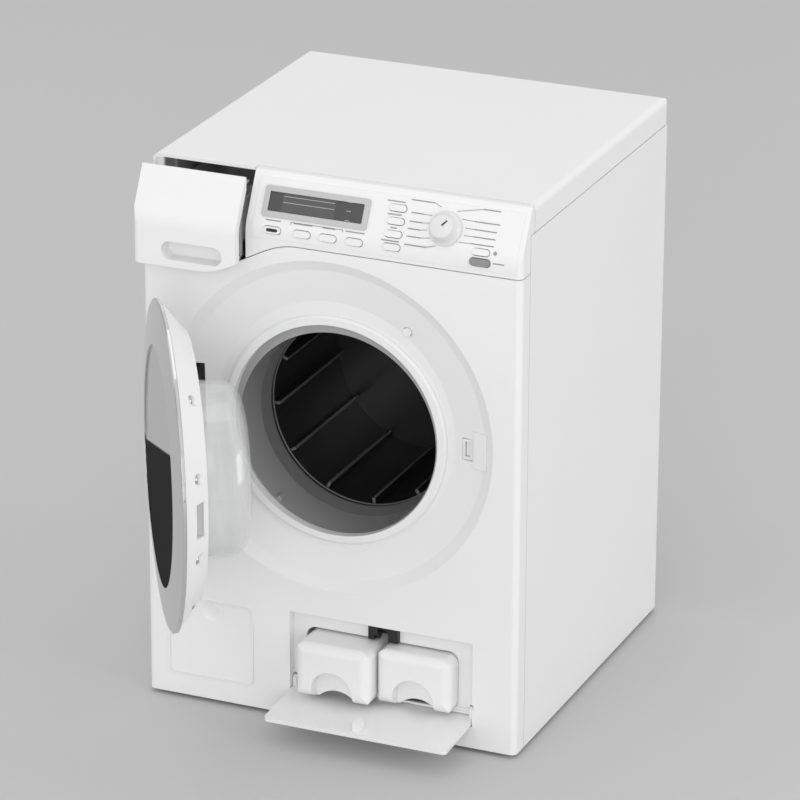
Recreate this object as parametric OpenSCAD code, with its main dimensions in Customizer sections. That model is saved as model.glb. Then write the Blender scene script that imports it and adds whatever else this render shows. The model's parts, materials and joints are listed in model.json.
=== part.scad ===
// Toy front-loading washing machine, in millimetres.
// Each piece is drawn with the front plane at y = 0, the floor at z = 0, x to the right and y to the back.
// placed() then puts the origin on the floor under the middle of the body.
// Moving pieces are drawn where they stand: door open, drawer and dispenser boxes pulled out, flap down.

/* [Body] */
// Width of the body
body_w = 183; // [180:1:200]
// Depth of the body
body_d = 181.5; // [172:0.5:200]
// Height above the floor
body_h = 260; // [256:1:275]
// Wall of the plastic shells
wall = 2; // [1.6:0.1:2.4]
// Radius of the upright and top edges
edge_r = 3; // [2.6:0.1:4]
// Visible gap between two shells
seam = 0.4; // [0.3:0.1:0.6]
// Depth of the front frame's side returns
frame_d = 10; // [9:0.5:12]
// Height of the feet
foot_h = 2; // [1.5:0.5:4]
// Radius of the feet
foot_r = 8; // [5:1:10]
// Height of the lid's skirt
skirt_h = 12.6; // [10:0.2:15]

/* [Sloping front] */
// Height of the sloping part of the front
slope_h = 23; // [22:0.5:24]
// Lean of the sloping part from the vertical, in degrees
lean = 27.5; // [25:0.5:29]
// Radius of the bend where the slope starts
bend_r = 16; // [12:1:18]
// Depth of the bottom of the curved seam below the top of the body
seam_low = 45; // [43:0.5:48]
// Depth of the top of the curved seam below the top of the body
seam_high = 30.2; // [30:0.1:32]
// Where the curved seam starts to rise, from the middle of the body
seam_x0 = -60; // [-66:1:-56]
// Where the curved seam stops rising
seam_x1 = -16; // [-20:1:-10]

/* [Dish and opening] */
// Height of the door's centre
door_z = 146; // [144:0.5:148]
// Radius of the dish round the door
dish_r = 79; // [78.5:0.1:80]
// Depth of the dish
dish_depth = 7; // [6.8:0.1:7.4]
// Radius of the opening
mouth_r = 50.3; // [49:0.1:51]
// Drop of the opening's centre below the door's centre
mouth_drop = 3; // [2:0.5:3.5]

/* [Door] */
// Outer radius of the door
door_r = 73.7; // [73:0.1:74.5]
// How far the door stands open, in degrees
door_open = 57.35; // [0:0.05:85]
// Height of the door's rim in front of the front plane when shut
door_rim = 8; // [7.5:0.1:9]
// Radius of the window that the chrome ring leaves free
window_r = 53.5; // [50:0.5:54]
// Thickness of the window disc
window_t = 1.5; // [1:0.1:1.5]
// Radius of the bowl at its flange
bowl_r = 40; // [38:0.5:41]
// Reach of the bowl behind the front plane when shut
bowl_end = 27; // [24:0.5:28]
// Wall of the bowl
bowl_t = 1.6; // [1.2:0.1:2]
// Place of the hinge pin, to the left of the middle
hinge_x = -79.7; // [-80.2:0.1:-79.4]
// Place of the hinge pin behind the front plane
hinge_y = 6.34; // [6.2:0.02:6.6]
// Radius of the hinge pin
pin_r = 1.5; // [1:0.1:1.7]
// Radius of the hinge knuckle
knuckle_r = 3.4; // [3:0.1:3.5]
// Height of the hinge arm
arm_h = 38; // [30:1:40]
// Radius of the circle of the door's screws
screw_ring_r = 64.7; // [64:0.1:65.2]

/* [Drum] */
// Drop of the drum's axis below the opening's centre
drum_drop = 2.5; // [2:0.5:3]
// Inner radius of the collar
collar_r = 48; // [47:0.5:48.5]
// Outer radius of the drum
drum_r = 49; // [48:0.5:50]
// Depth of the drum
drum_d = 79; // [70:1:82]
// Wall of the drum
drum_t = 1.6; // [1.2:0.1:2]
// Number of ribs in the drum
rib_count = 12; // [8:1:16]
// Height of a rib
rib_h = 3.9; // [2:0.1:5]
// Radius of the drum's shaft
shaft_r = 2.5; // [2:0.1:3]
// Pitch radius of the big pulley
drive_r = 30; // [26:1:32]
// Pitch radius of the motor's pulley
motor_pulley_r = 5; // [4:0.5:6]
// Distance from the drum's axis down to the motor's axis
belt_drop = 70.5; // [68:0.5:74]
// Thickness of the square belt
belt_t = 2.4; // [2:0.1:2.6]
// Radius of the motor
motor_r = 12; // [10:0.5:14]
// Length of the motor
motor_l = 30; // [24:1:34]

/* [Dispenser] */
// Middle of the flap, to the right of the middle of the body
flap_x = 25.2; // [23:0.2:26]
// Width of the flap
flap_w = 89.4; // [89.4:0.2:91]
// Height of the flap when shut
flap_h = 39.8; // [39:0.2:41]
// Thickness of the flap
flap_t = 2; // [1.6:0.1:2.2]
// Tilt of the open flap below the level, in degrees
flap_down = 3.5; // [2:0.5:4]
// Height of the flap's pins
flap_pin_z = 18.1; // [18:0.1:18.6]
// Distance of the flap's pins from its inner face
flap_pin_in = 2.6; // [2.5:0.1:2.8]
// Width of a dispenser box
box_w = 36.3; // [34:0.1:36.4]
// Height of a dispenser box
box_h = 27.2; // [26:0.2:27.4]
// Length of a dispenser box
box_l = 48; // [40:1:48]
// Radius of the boxes' lower front edge
box_toe = 7; // [6.5:0.1:8]
// Distance between the middles of the two boxes
box_pitch = 37; // [36.9:0.1:37.2]
// Radius of the boxes' edges
box_edge = 4.4; // [3:0.2:5]
// Front of the left box, in front of the front plane
left_out = 12.5; // [5:0.5:12.5]
// Front of the right box, in front of the front plane
right_out = 5.5; // [4:0.5:8]

/* [Drawer] */
// Width of the drawer's front
drawer_w = 50.7; // [49:0.1:52]
// Depth of the drawer's front
drawer_front_d = 11.8; // [11.7:0.1:12]
// How far the drawer is pulled out
drawer_out = 9.5; // [0:0.5:30]
// Width of the drawer's tray
tray_w = 38.5; // [34:0.5:39]
// Height of the drawer's tray
tray_h = 19; // [14:0.5:19]
// Length of the drawer's tray
tray_l = 98; // [80:1:110]

/* [Controls] */
// Width of a row key and a column key
key_w = 8.1; // [7:0.1:8.6]
// Height of a row key
key_h = 3.2; // [2.8:0.1:3.4]
// Travel of a key
key_travel = 0.8; // [0.4:0.1:1]
// Radius of the programme knob at its foot
knob_r = 7.7; // [7:0.1:8]
// Height of the programme knob
knob_h = 7; // [5:0.5:9]
// Width of the display frame
display_w = 50.5; // [48:0.5:52]
// Height of the display frame
display_h = 14; // [12:0.5:14]

/* [Inside] */
// Radius of a battery cell
cell_r = 7.25; // [7.25:0.25:7.5]
// Length of a battery cell
cell_l = 50.5; // [48:0.5:52]
// Thickness of the base plate
base_t = 2.4; // [2:0.2:3]
// Radius of the loudspeaker
speaker_r = 14; // [12:0.5:16]

/* [Hidden] */
$fn = 64;

// Fits: gap round a piece that slides or is laid in, gap round a turning pin, and a cut's overrun
slide_gap = 0.3;
turn_gap = 0.08;
cut = 1;

half_w = body_w / 2;
inner_w = half_w - wall;
bend_z = body_h - slope_h;
slope_z = bend_z - bend_r * tan(lean / 2);
lid_z = body_h - skirt_h;
lid_y = (body_h - bend_z) * tan(lean) + 2.5;
panel_x0 = -half_w + drawer_w + seam;
base_z = foot_h + base_t;
steps = 8;

// Front surface: its angle and depth at a height, and its line at an inset into the wall
function face_angle(z) = z < slope_z ? 0 : z < slope_z + bend_r * sin(lean) ? asin((z - slope_z) / bend_r) : lean;
function face_y(z) = z < slope_z + bend_r * sin(lean) ? bend_r * (1 - cos(face_angle(z))) : (z - bend_z) * tan(lean);
function face_line(inset, z0, z1) = concat([[inset, z0]],
    [for (i = [0:steps]) let (a = lean * i / steps)
        [bend_r - (bend_r - inset) * cos(a), slope_z + (bend_r - inset) * sin(a)]],
    [[(z1 - bend_z) * tan(lean) + inset / cos(lean), z1]]);
function reversed(list) = [for (i = [len(list) - 1:-1:0]) list[i]];

// Height of the curved seam between the lower front and the pieces above it
function seam_z(x) = body_h - seam_low + (seam_low - seam_high)
    * (1 - cos(180 * max(0, min(1, (x - seam_x0) / (seam_x1 - seam_x0))))) / 2;
seam_steps = 24;
function seam_line(x0, x1, up) = concat([[x0, seam_z(x0) + up]],
    [for (i = [0:seam_steps]) let (x = seam_x0 + (seam_x1 - seam_x0) * i / seam_steps)
        if (x > x0 + 0.1 && x < x1 - 0.1) [x, seam_z(x) + up]],
    [[x1, seam_z(x1) + up]]);

module placed() translate([0, -body_d / 2, 0]) children();
module along_x(x0, x1) translate([x0, 0, 0]) rotate([90, 0, 90]) linear_extrude(x1 - x0) children();
module along_y(y0, y1) translate([0, y1, 0]) rotate([90, 0, 0]) linear_extrude(y1 - y0) children();
module along_z(z0, z1) translate([0, 0, z0]) linear_extrude(z1 - z0) children();
module block(x0, x1, y0, y1, z0, z1) translate([x0, y0, z0]) cube([x1 - x0, y1 - y0, z1 - z0]);

// A body turned round an axis along y at (x, z), from a profile of radius and depth
module turned(x, z) translate([x, 0, z]) rotate([-90, 0, 0]) rotate_extrude($fn = 128) children();
module rod_y(x, z, r, y0, y1) translate([x, y0, z]) rotate([-90, 0, 0]) cylinder(r = r, h = y1 - y0);
module rod_x(y, z, r, x0, x1) translate([x0, y, z]) rotate([0, 90, 0]) cylinder(r = r, h = x1 - x0);
module rod_z(x, y, r, z0, z1) translate([x, y, z0]) cylinder(r = r, h = z1 - z0);
module both_sides() { children(); mirror([1, 0, 0]) children(); }

module pill(w, h) {
    square([w - h, h], center = true);
    for (side = [-1, 1]) translate([side * (w - h) / 2, 0]) circle(h / 2);
}

module round_rect(w, h, r) {
    square([w - 2 * r, h], center = true);
    square([w, h - 2 * r], center = true);
    for (x = [-1, 1], y = [-1, 1]) translate([x * (w / 2 - r), y * (h / 2 - r)]) circle(r);
}

// Children stand on the front surface at (x, z), their z axis pointing out of it
module on_face(x, z) translate([x, face_y(z), z]) rotate([90 - face_angle(z), 0, 0]) children();
// The same at a distance up the slope from the bend's corner
module on_slope(x, s) translate([x, s * sin(lean), bend_z + s * cos(lean)]) rotate([90 - lean, 0, 0]) children();
module face_slab(x0, x1, outer, inner, z0, z1) along_x(x0, x1)
    polygon(concat(face_line(outer, z0, z1), reversed(face_line(inner, z0, z1))));

// Plan of the front frame: a U with round corners, set in by an inset
module frame_plan(inset, depth) {
    translate([-half_w + inset, edge_r]) square([body_w - 2 * inset, depth - edge_r]);
    translate([-half_w + edge_r, inset]) square([body_w - 2 * edge_r, edge_r]);
    for (side = [-1, 1]) translate([side * (half_w - edge_r), edge_r]) circle(edge_r - inset);
}

// Dish round the door. The profile runs from the flat floor up the slope to the front plane.
dish_t = 2;
dish_floor_r = dish_r - 21;
dish_step_r = dish_r - 5;
dish_step_y = 3;
mouth_z = door_z - mouth_drop;
lip_w = 4.2;
module dish_profile() polygon([[mouth_r - mouth_drop - 1, dish_depth], [dish_floor_r, dish_depth],
    [dish_step_r, dish_step_y], [dish_r, 0], [dish_r + 3, 0], [dish_r + 3, wall], [dish_r + 0.8, wall],
    [dish_step_r + 0.6, dish_step_y + 2.1], [dish_floor_r + 0.5, dish_depth + dish_t],
    [mouth_r - mouth_drop - 1, dish_depth + dish_t]]);
module lip_profile() polygon([[mouth_r, dish_depth - 2], [mouth_r + lip_w - 1, dish_depth - 2],
    [mouth_r + lip_w, dish_depth - 1], [mouth_r + lip_w, dish_depth + 1], [mouth_r, dish_depth + 1]]);
function dish_y(r) = dish_depth - (r - dish_floor_r) * (dish_depth - dish_step_y) / (dish_step_r - dish_floor_r);
dish_angle = atan((dish_depth - dish_step_y) / (dish_step_r - dish_floor_r));

// Hinge: slot for the arm, and the lugs that hold the pin above and below it
slot_x0 = hinge_x + 3.7;
slot_x1 = hinge_x + 16.2;
slot_h = arm_h + 2;
lug_h = 7.5;

// Catch in the dish on the right, and the plunger at its upper right
catch_x = 64.8;
catch_w = 4.6;
catch_h = 9.8;
catch_z = door_z - 1.2;
catch_seat = 10.5;
plunger_x = 35.4;
plunger_z = door_z + 49.8;
plunger_r = 2;
ring_y = 4.3;
plunger_tip = ring_y + 0.4;
plunger_seat = 10.3;

// Recess for the flap, in the lower right of the front
flap_gap = 0.3;
recess_x0 = flap_x - flap_w / 2 - flap_gap;
recess_x1 = flap_x + flap_w / 2 + flap_gap;
recess_y = 5;
recess_t = 2;
flap_pin_y = flap_t + flap_pin_in;
flap_low = flap_pin_z - 4.9;
recess_top = flap_low + flap_h + 0.4;
sweep_r = norm([flap_pin_y, flap_pin_z - flap_low]) + 0.4;
recess_low = flap_pin_z - sqrt(sweep_r * sweep_r - flap_pin_y * flap_pin_y);
ledge_z = flap_pin_z - 2.2;
ear_w = 2;
ear_r = 2.4;
flap_pin_r = 1;
pin_boss = 3.2;

// Dispenser boxes and the hole that they slide through
box_z = flap_pin_z - 0.7;
box_home = 12;
box_x_left = flap_x - 19.85;
box_wall = 1.6;
hole_w = box_pitch + box_w + 1.7;
hole_x = box_x_left + box_pitch / 2 + 0.15;
hole_z0 = box_z - slide_gap;
hole_z1 = box_z + box_h + 0.9;
hole_r = box_edge + slide_gap;
latch_x = flap_x + 0.05;
latch_w = 14.5;
latch_h = 6.9;
latch_z = recess_top - 4.35;

module hole_outline(grow) translate([hole_x, (hole_z0 + hole_z1) / 2])
    round_rect(hole_w + 2 * grow, hole_z1 - hole_z0 + 2 * grow, hole_r + grow);

module recess_body() {
    block(recess_x0 - pin_boss, recess_x1 + pin_boss, wall - 0.5, recess_y + recess_t, recess_low - 3, recess_top + wall);
}
module recess_cuts() {
    block(recess_x0, recess_x1, -cut, recess_y, recess_low, recess_top);
    intersection() {
        rod_x(flap_pin_y, flap_pin_z, sweep_r, recess_x0, recess_x1);
        block(recess_x0, recess_x1, -cut, 20, 0, ledge_z);
    }
    block(recess_x0, recess_x1, recess_y - cut, recess_y + recess_t + cut, recess_low, ledge_z);
    along_y(recess_y - cut, recess_y + recess_t + cut) hole_outline(0);
    block(latch_x - latch_w / 2 - 0.2, latch_x + latch_w / 2 + 0.2, recess_y - cut, recess_y + recess_t + cut,
        hole_z1 - 1, latch_z + latch_h / 2 + 0.2);
    for (x = [recess_x0, recess_x1 - ear_w - 0.8])
        block(x, x + ear_w + 0.8, recess_y - cut, recess_y + recess_t + cut, ledge_z - cut, flap_pin_z + ear_r + 0.4);
    rod_x(flap_pin_y, flap_pin_z, flap_pin_r, recess_x0 - pin_boss - cut, recess_x1 + pin_boss + cut);
    // Small notch in the recess's right edge
    block(recess_x1 - 0.1, recess_x1 + 0.8, -cut, wall + 0.5, flap_pin_z + 3.1, flap_pin_z + 5.1);
}

// Moulded outline of the filter lid, a low rounded ridge with a dimple
filter_x = -59.5;
filter_z = 32;
filter_w = 43;
filter_h = 39;
filter_ridge = 0.8;
module filter_lid() {
    along_y(-0.4, wall / 2) translate([filter_x, filter_z]) difference() {
        round_rect(filter_w, filter_h, 3.4);
        round_rect(filter_w - 2 * filter_ridge, filter_h - 2 * filter_ridge, 3.4 - filter_ridge);
    }
}
module filter_dimple() translate([filter_x, -11.2, filter_z + 14]) sphere(12, $fn = 96);

// Tongues that stand behind the seams and keep them dark
tongue_t = 1.4;
module side_tongues() both_sides() {
    block(inner_w - tongue_t - 0.2, inner_w + 0.1, frame_d - 3, frame_d, foot_h + 4, body_h - seam_low - 8);
    block(inner_w - tongue_t - 0.2, inner_w - 0.2, frame_d - 0.1, frame_d + 4, foot_h + 4, body_h - seam_low - 8);
}
module seam_tongue() {
    x0 = panel_x0 + wall + 0.6;
    x1 = inner_w - 1.5;
    along_y(wall - 0.1, wall + tongue_t) polygon(concat(seam_line(x0, x1, -5), reversed(seam_line(x0, x1, -0.3))));
    along_y(wall + 0.15, wall + tongue_t) polygon(concat(seam_line(x0, x1, -4), reversed(seam_line(x0, x1, 2.6))));
}

module front_panel() color("white") difference() {
    union() {
        difference() {
            intersection() {
                along_z(foot_h, bend_z) difference() {
                    frame_plan(0, frame_d);
                    frame_plan(wall, frame_d + cut);
                }
                along_y(-cut, frame_d + cut) polygon(concat([[half_w, foot_h], [-half_w, foot_h]],
                    seam_line(-half_w, half_w, -seam / 2)));
            }
            rod_y(0, door_z, dish_r + 1, -cut, wall + cut);
        }
        turned(0, door_z) dish_profile();
        turned(0, mouth_z) lip_profile();
        recess_body();
        filter_lid();
        side_tongues();
        seam_tongue();
        // Flange that stands on the base plate
        block(-inner_w + 1.5, inner_w - 1.5, wall - 0.1, 12, base_z, base_z + 2);
        // Lugs of the door's hinge
        for (side = [-1, 1]) translate([0, 0, door_z + side * (slot_h + lug_h) / 2])
            block(hinge_x - 3.8, hinge_x + 3.7, wall - 0.2, frame_d, -lug_h / 2, lug_h / 2);
        // Seat of the catch, and the raised pad beside it
        block(catch_x - 4.6, catch_x + 4.6, dish_depth - 0.4, catch_seat, catch_z - 7.2, catch_z + 7.2);
        translate([catch_x + 3.8, dish_y(catch_x + 3.8), door_z - 9]) rotate([0, 0, -dish_angle])
            translate([0, -1, 0]) cube([7.1, 2, 17.5]);
        // Seat of the plunger
        rod_y(plunger_x, plunger_z, plunger_r + 2.5, dish_depth + 0.4, plunger_seat);
    }
    rod_y(0, mouth_z, mouth_r, -cut, 20);
    intersection() {
        block(slot_x0, slot_x1, -cut, 20, door_z - slot_h / 2, door_z + slot_h / 2);
        rod_y(0, door_z, dish_r, -cut, 20);
    }
    rod_z(hinge_x, hinge_y, pin_r, door_z - slot_h / 2 - lug_h + cut, door_z + slot_h / 2 + lug_h - cut);
    block(catch_x - catch_w / 2 - 0.3, catch_x + catch_w / 2 + 0.3, -cut, 20,
        catch_z - catch_h / 2 - 0.3, catch_z + catch_h / 2 + 0.3);
    rod_y(plunger_x, plunger_z, plunger_r + 0.15, -cut, 20);
    recess_cuts();
    filter_dimple();
}

// Sides and back frame
back_y = body_d - 3.6;
cover_t = 1.45;
cover_gap = 0.1;
post_w = 5.5;
post_y = drawer_front_d + 0.4;
window_x = 75;
window_z0 = 20;
window_z1 = body_h - 30;
back_screw_x = 82;
back_screw_z = [14, 125, body_h - 26];
base_screw_x = half_w - 8.5;
base_screw_y = [40, 150];
screw_r = 1.2;

module cabinet() color("white") difference() {
    union() {
        along_z(foot_h, lid_z - seam) difference() {
            union() {
                translate([-half_w, frame_d + seam]) square([body_w, body_d - frame_d - seam - 1.5]);
                translate([-half_w + 1.5, body_d - 3]) square([body_w - 3, 3]);
                for (side = [-1, 1]) translate([side * (half_w - 1.5), body_d - 1.5]) circle(1.5);
            }
            translate([-inner_w, frame_d]) square([2 * inner_w, body_d]);
        }
        difference() {
            block(-inner_w - 0.5, inner_w + 0.5, back_y, back_y + wall, foot_h + 0.5, lid_z - seam);
            block(-window_x, window_x, back_y - cut, back_y + wall + cut, window_z0, window_z1);
        }
        // Post beside the drawer
        block(-half_w + 0.5, -half_w + post_w, post_y, post_y + wall, body_h - seam_low - 4, lid_z - seam);
        both_sides() {
            for (z = back_screw_z) rod_y(back_screw_x, z, 3, back_y - 6, back_y + wall / 2);
            for (y = base_screw_y) {
                rod_z(base_screw_x, y, 4.2, base_z, base_z + 20);
                block(base_screw_x, inner_w + 0.5, y - 1.2, y + 1.2, base_z, base_z + 20);
            }
        }
    }
    // Room for the drawer's front
    block(-half_w - cut, -inner_w + 10, 0, post_y, body_h - seam_low - 0.4, lid_z);
    both_sides() {
        for (z = back_screw_z) rod_y(back_screw_x, z, screw_r, back_y - 7, back_y + wall + cut);
        for (y = base_screw_y) rod_z(base_screw_x, y, screw_r, base_z - cut, base_z + 14);
    }
}

module screw_y(x, z, head_y, head_r, head_t, shank_l) {
    rod_y(x, z, head_r, head_y - head_t, head_y);
    rod_y(x, z, screw_r, head_y - head_t - shank_l, head_y - head_t);
}

speaker_x = 55;
speaker_z = body_h - 60;
speaker_d = 7;
cover_y = body_d - cover_t - cover_gap;
module rear_cover() color("white") difference() {
    block(-inner_w + 0.3, inner_w - 0.3, cover_y, body_d - cover_gap, foot_h + 6, lid_z - 7);
    both_sides() for (z = back_screw_z) rod_y(back_screw_x, z, screw_r, cover_y - cut, body_d + cut);
    for (ring = [0:2]) for (i = [0:max(0, ring * 6 - 1)])
        rod_y(speaker_x + ring * 4 * cos(60 / max(1, ring) * i), speaker_z + ring * 4 * sin(60 / max(1, ring) * i),
            1.2, cover_y - cut, body_d + cut);
    for (i = [0:7]) translate([0, 0, 60 + 9 * i]) along_y(cover_y - cut, body_d + cut)
        translate([-45, 0]) pill(40, 3);
}
module rear_screws() color("silver") both_sides() for (z = back_screw_z)
    screw_y(back_screw_x, z, body_d - cover_gap + 1.4, 2.8, 1.4, 8);

// Rounded outside of the lid, cut from three profiles
module lid_solid(inset, z0) {
    r = edge_r - inset;
    intersection() {
        along_z(z0, body_h - inset) {
            translate([-half_w + inset, 0]) square([body_w - 2 * inset, body_d - edge_r]);
            translate([-half_w + edge_r, 0]) square([body_w - 2 * edge_r, body_d - inset]);
            for (side = [-1, 1]) translate([side * (half_w - edge_r), body_d - edge_r]) circle(r);
        }
        along_y(-cut, body_d + cut) {
            translate([-half_w + inset, z0 - cut]) square([body_w - 2 * inset, body_h - edge_r - z0 + cut]);
            translate([-half_w + edge_r, z0 - cut]) square([body_w - 2 * edge_r, body_h - inset - z0 + cut]);
            for (side = [-1, 1]) translate([side * (half_w - edge_r), body_h - edge_r]) circle(r);
        }
        along_x(-half_w - cut, half_w + cut) {
            translate([-cut, z0 - cut]) square([body_d - edge_r + cut, body_h - inset - z0 + cut]);
            translate([-cut, z0 - cut]) square([body_d - inset + cut, body_h - edge_r - z0 + cut]);
            translate([body_d - edge_r, body_h - edge_r]) circle(r);
        }
    }
}

header_t = 1.3;
module top_lid() color("white") {
    difference() {
        lid_solid(0, lid_z);
        lid_solid(wall, lid_z - cut);
        block(panel_x0 - seam, half_w + cut, -cut, lid_y + seam, 0, body_h + cut);
        block(-half_w - cut, panel_x0, -cut, post_y - 0.2, 0, body_h + cut);
        block(-half_w + post_w, panel_x0, -cut, lid_y + seam, 0, body_h - header_t);
    }
    // Front flange beside the drawer, and the rim that stands inside the cabinet
    block(-half_w + 0.5, -half_w + post_w, post_y, post_y + wall, lid_z, body_h - header_t);
    both_sides() {
        block(inner_w - 1.6, inner_w - 0.2, 30, body_d - 12, lid_z - 4, body_h - wall + 0.2);
    }
    block(-inner_w + 12, inner_w - 12, back_y - 1.7, back_y - 0.3, lid_z - 4, body_h - wall + 0.2);
}

// Base plate with the battery tray, which opens below
cell_gap = 0.7;
bay_w = 8 * cell_r + 3 * cell_gap + 1.9;
bay_l = cell_l + 2.5;
bay_y = 66;
bay_top = base_z + 14.8;
bay_wall = 1.5;
cell_z = base_z - 0.4 + cell_r;
function cell_x(i) = (i - 1.5) * (2 * cell_r + cell_gap);
module base_plate() color("lightgray") difference() {
    union() {
        block(-inner_w + 0.3, inner_w - 0.3, wall + 0.4, back_y - 0.4, foot_h, base_z);
        block(-bay_w / 2 - bay_wall, bay_w / 2 + bay_wall, bay_y - bay_wall, bay_y + bay_l + bay_wall, foot_h,
            bay_top + bay_wall);
    }
    block(-bay_w / 2, bay_w / 2, bay_y, bay_y + bay_l, foot_h - cut, bay_top);
    both_sides() for (y = base_screw_y) {
        rod_z(base_screw_x, y, 1.5, foot_h - cut, base_z + cut);
        rod_z(base_screw_x, y, 3.1, foot_h - cut, foot_h + 1.4);
    }
}
module base_screws() color("silver") both_sides() for (y = base_screw_y) {
    rod_z(base_screw_x, y, 2.8, foot_h + 0.1, foot_h + 1.4);
    rod_z(base_screw_x, y, screw_r, foot_h + 1.4, base_z + 10);
}
module feet() color("dimgray") both_sides() for (y = [18, body_d - 16])
    rod_z(half_w - 15.5, y, foot_r, 0, foot_h);
module battery_cover() color("lightgray") {
    block(-bay_w / 2 + 0.2, bay_w / 2 - 0.2, bay_y + 0.2, bay_y + bay_l - 0.2, foot_h + 0.1, foot_h + 1.7);
    for (x = [-bay_w / 4, bay_w / 4]) block(x - 4, x + 4, bay_y + 0.02, bay_y + 1.2, foot_h + 1.6, base_z - 0.5);
}
module batteries() for (i = [0:3]) {
    color("goldenrod") rod_y(cell_x(i), cell_z, cell_r, bay_y + 1.25, bay_y + bay_l - 2.25);
    color("silver") rod_y(cell_x(i), cell_z, 2.6, bay_y + bay_l - 2.25, bay_y + bay_l - 1.25);
}
module battery_contacts() color("silver") for (i = [0:3]) {
    block(cell_x(i) - 4.5, cell_x(i) + 4.5, bay_y, bay_y + 0.4, cell_z - 5, cell_z + 5);
    block(cell_x(i) - 4.5, cell_x(i) + 4.5, bay_y + bay_l - 0.4, bay_y + bay_l, cell_z - 5, cell_z + 5);
    rod_y(cell_x(i), cell_z, 3, bay_y + 0.4, bay_y + 0.95);
}

// Control panel: places of the controls, to the right of the middle and up the slope
key_row_z = bend_z - 0.8;
key_row_x = [-27.3, -13, -0.5, 12.1];
key_side_x = 30;
key_side_s = [17, 11.1, 5.3];
key_side_low_z = bend_z - 0.5;
side_key_h = 3;
light_x = half_w - 19.7;
light_z = bend_z + 2.7;
start_w = 9.6;
start_h = 3.4;
start_z = bend_z - 1.5;
knob_x = 53.7;
knob_s = 10.9;
display_x = -8.25;
display_s = 12;
display_rim = 2;
fascia_t = 0.3;
key_gap = 0.25;
key_proud = 1;
key_flange = 0.6;
board_depth = 8.2;
board_t = 1.6;
knob_shaft_r = 3;

module key_cuts(gap) {
    for (x = key_row_x) on_face(x, key_row_z) pill_cut(key_w, key_h, gap);
    for (s = key_side_s) on_slope(key_side_x, s) pill_cut(key_w, side_key_h, gap);
    on_face(key_side_x, key_side_low_z) pill_cut(key_w, side_key_h, gap);
    on_face(light_x, light_z) pill_cut(key_w, side_key_h, gap);
    on_face(light_x, start_z) pill_cut(start_w, start_h, gap);
}
module pill_cut(w, h, gap) translate([0, 0, -4]) linear_extrude(7) pill(w + 2 * gap, h + 2 * gap);
module display_cut(w, h) on_slope(display_x, display_s) translate([0, 0, -4]) linear_extrude(7)
    square([w, h], center = true);

module control_panel() color("white") {
    difference() {
        intersection() {
            union() {
                face_slab(panel_x0, half_w, 0, wall, body_h - 60, body_h);
                block(panel_x0, half_w, (body_h - bend_z - wall) * tan(lean) + 1, lid_y, body_h - wall, body_h);
                for (x = [panel_x0, inner_w]) difference() {
                    along_x(x, x + wall) polygon(concat(face_line(0.5, body_h - 60, body_h - 0.5),
                        [[lid_y, body_h - 0.5], [lid_y, lid_z], [frame_d, lid_z], [frame_d, body_h - 60]]));
                }
            }
            along_y(-cut, 40) polygon(concat([[half_w, body_h + cut], [panel_x0, body_h + cut]],
                seam_line(panel_x0, half_w, seam / 2)));
            // Upright right edge of the front
            along_z(0, body_h + cut) union() {
                translate([panel_x0, -cut]) square([half_w - edge_r - panel_x0, 60]);
                translate([panel_x0, edge_r]) square([half_w - panel_x0, 60]);
                translate([half_w - edge_r, edge_r]) circle(edge_r);
            }
        }
        key_cuts(key_gap);
        display_cut(display_w - 2 * display_rim + 0.2, display_h - 2 * display_rim + 0.2);
        on_slope(knob_x, knob_s) translate([0, 0, -4]) cylinder(r = knob_shaft_r + 0.3, h = 7);
    }
    // Pillars for the circuit board
    for (x = [panel_x0 + 5, inner_w - 4], s = [4, 20]) on_slope(x, s)
        translate([0, 0, -board_depth]) cylinder(r = 1.8, h = board_depth - 1);
}

fascia_x0 = panel_x0 + 3.4;
fascia_x1 = half_w - 2.5;
module fascia_sheet() color("whitesmoke") difference() {
    face_slab(fascia_x0, fascia_x1, -fascia_t, 0, bend_z - 5, bend_z + 20.2);
    key_cuts(key_gap);
    display_cut(display_w - 2 * display_rim + 0.2, display_h - 2 * display_rim + 0.2);
    on_slope(knob_x, knob_s) translate([0, 0, -4]) cylinder(r = knob_shaft_r + 0.4, h = 7);
}

module display_frame() color("silver") on_slope(display_x, display_s) difference() {
    union() {
        translate([0, 0, fascia_t]) linear_extrude(0.7) round_rect(display_w, display_h, 1.2);
        translate([0, 0, -wall]) linear_extrude(wall + fascia_t)
            square([display_w - 2 * display_rim, display_h - 2 * display_rim], center = true);
    }
    translate([0, 0, -4]) linear_extrude(8)
        square([display_w - 2 * display_rim - 1.2, display_h - 2 * display_rim - 1.2], center = true);
}
module display_window() color("dimgray") on_slope(display_x, display_s) translate([0, 0, -1])
    linear_extrude(1 + fascia_t + 0.2)
        square([display_w - 2 * display_rim - 1.4, display_h - 2 * display_rim - 1.4], center = true);

module program_knob() color("gainsboro") on_slope(knob_x, knob_s) difference() {
    union() {
        translate([0, 0, fascia_t + slide_gap]) rotate_extrude() polygon([[0, 0], [knob_r, 0], [knob_r, 1],
            [knob_r * 0.84, 1.8], [knob_r * 0.68, knob_h - 0.8], [knob_r * 0.6, knob_h], [0, knob_h]]);
        translate([0, 0, -6]) cylinder(r = knob_shaft_r, h = 7);
    }
    // Pointer groove
    rotate([0, 0, -35]) translate([0, knob_r * 0.38, fascia_t + slide_gap + knob_h]) cube([1, knob_r * 0.36, 0.6], center = true);
}
module rotary_switch() color("dimgray") on_slope(knob_x, knob_s) difference() {
    translate([-7, -7, -board_depth]) cube([14, 14, board_depth - wall]);
    translate([0, 0, -board_depth + 1]) cylinder(r = knob_shaft_r + turn_gap, h = board_depth);
}
module circuit_board() color("darkgreen") on_slope(0, 0)
    translate([panel_x0 + wall + 0.8, 0.5, -board_depth - board_t])
        cube([inner_w - panel_x0 - wall - 2, 22, board_t]);

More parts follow.
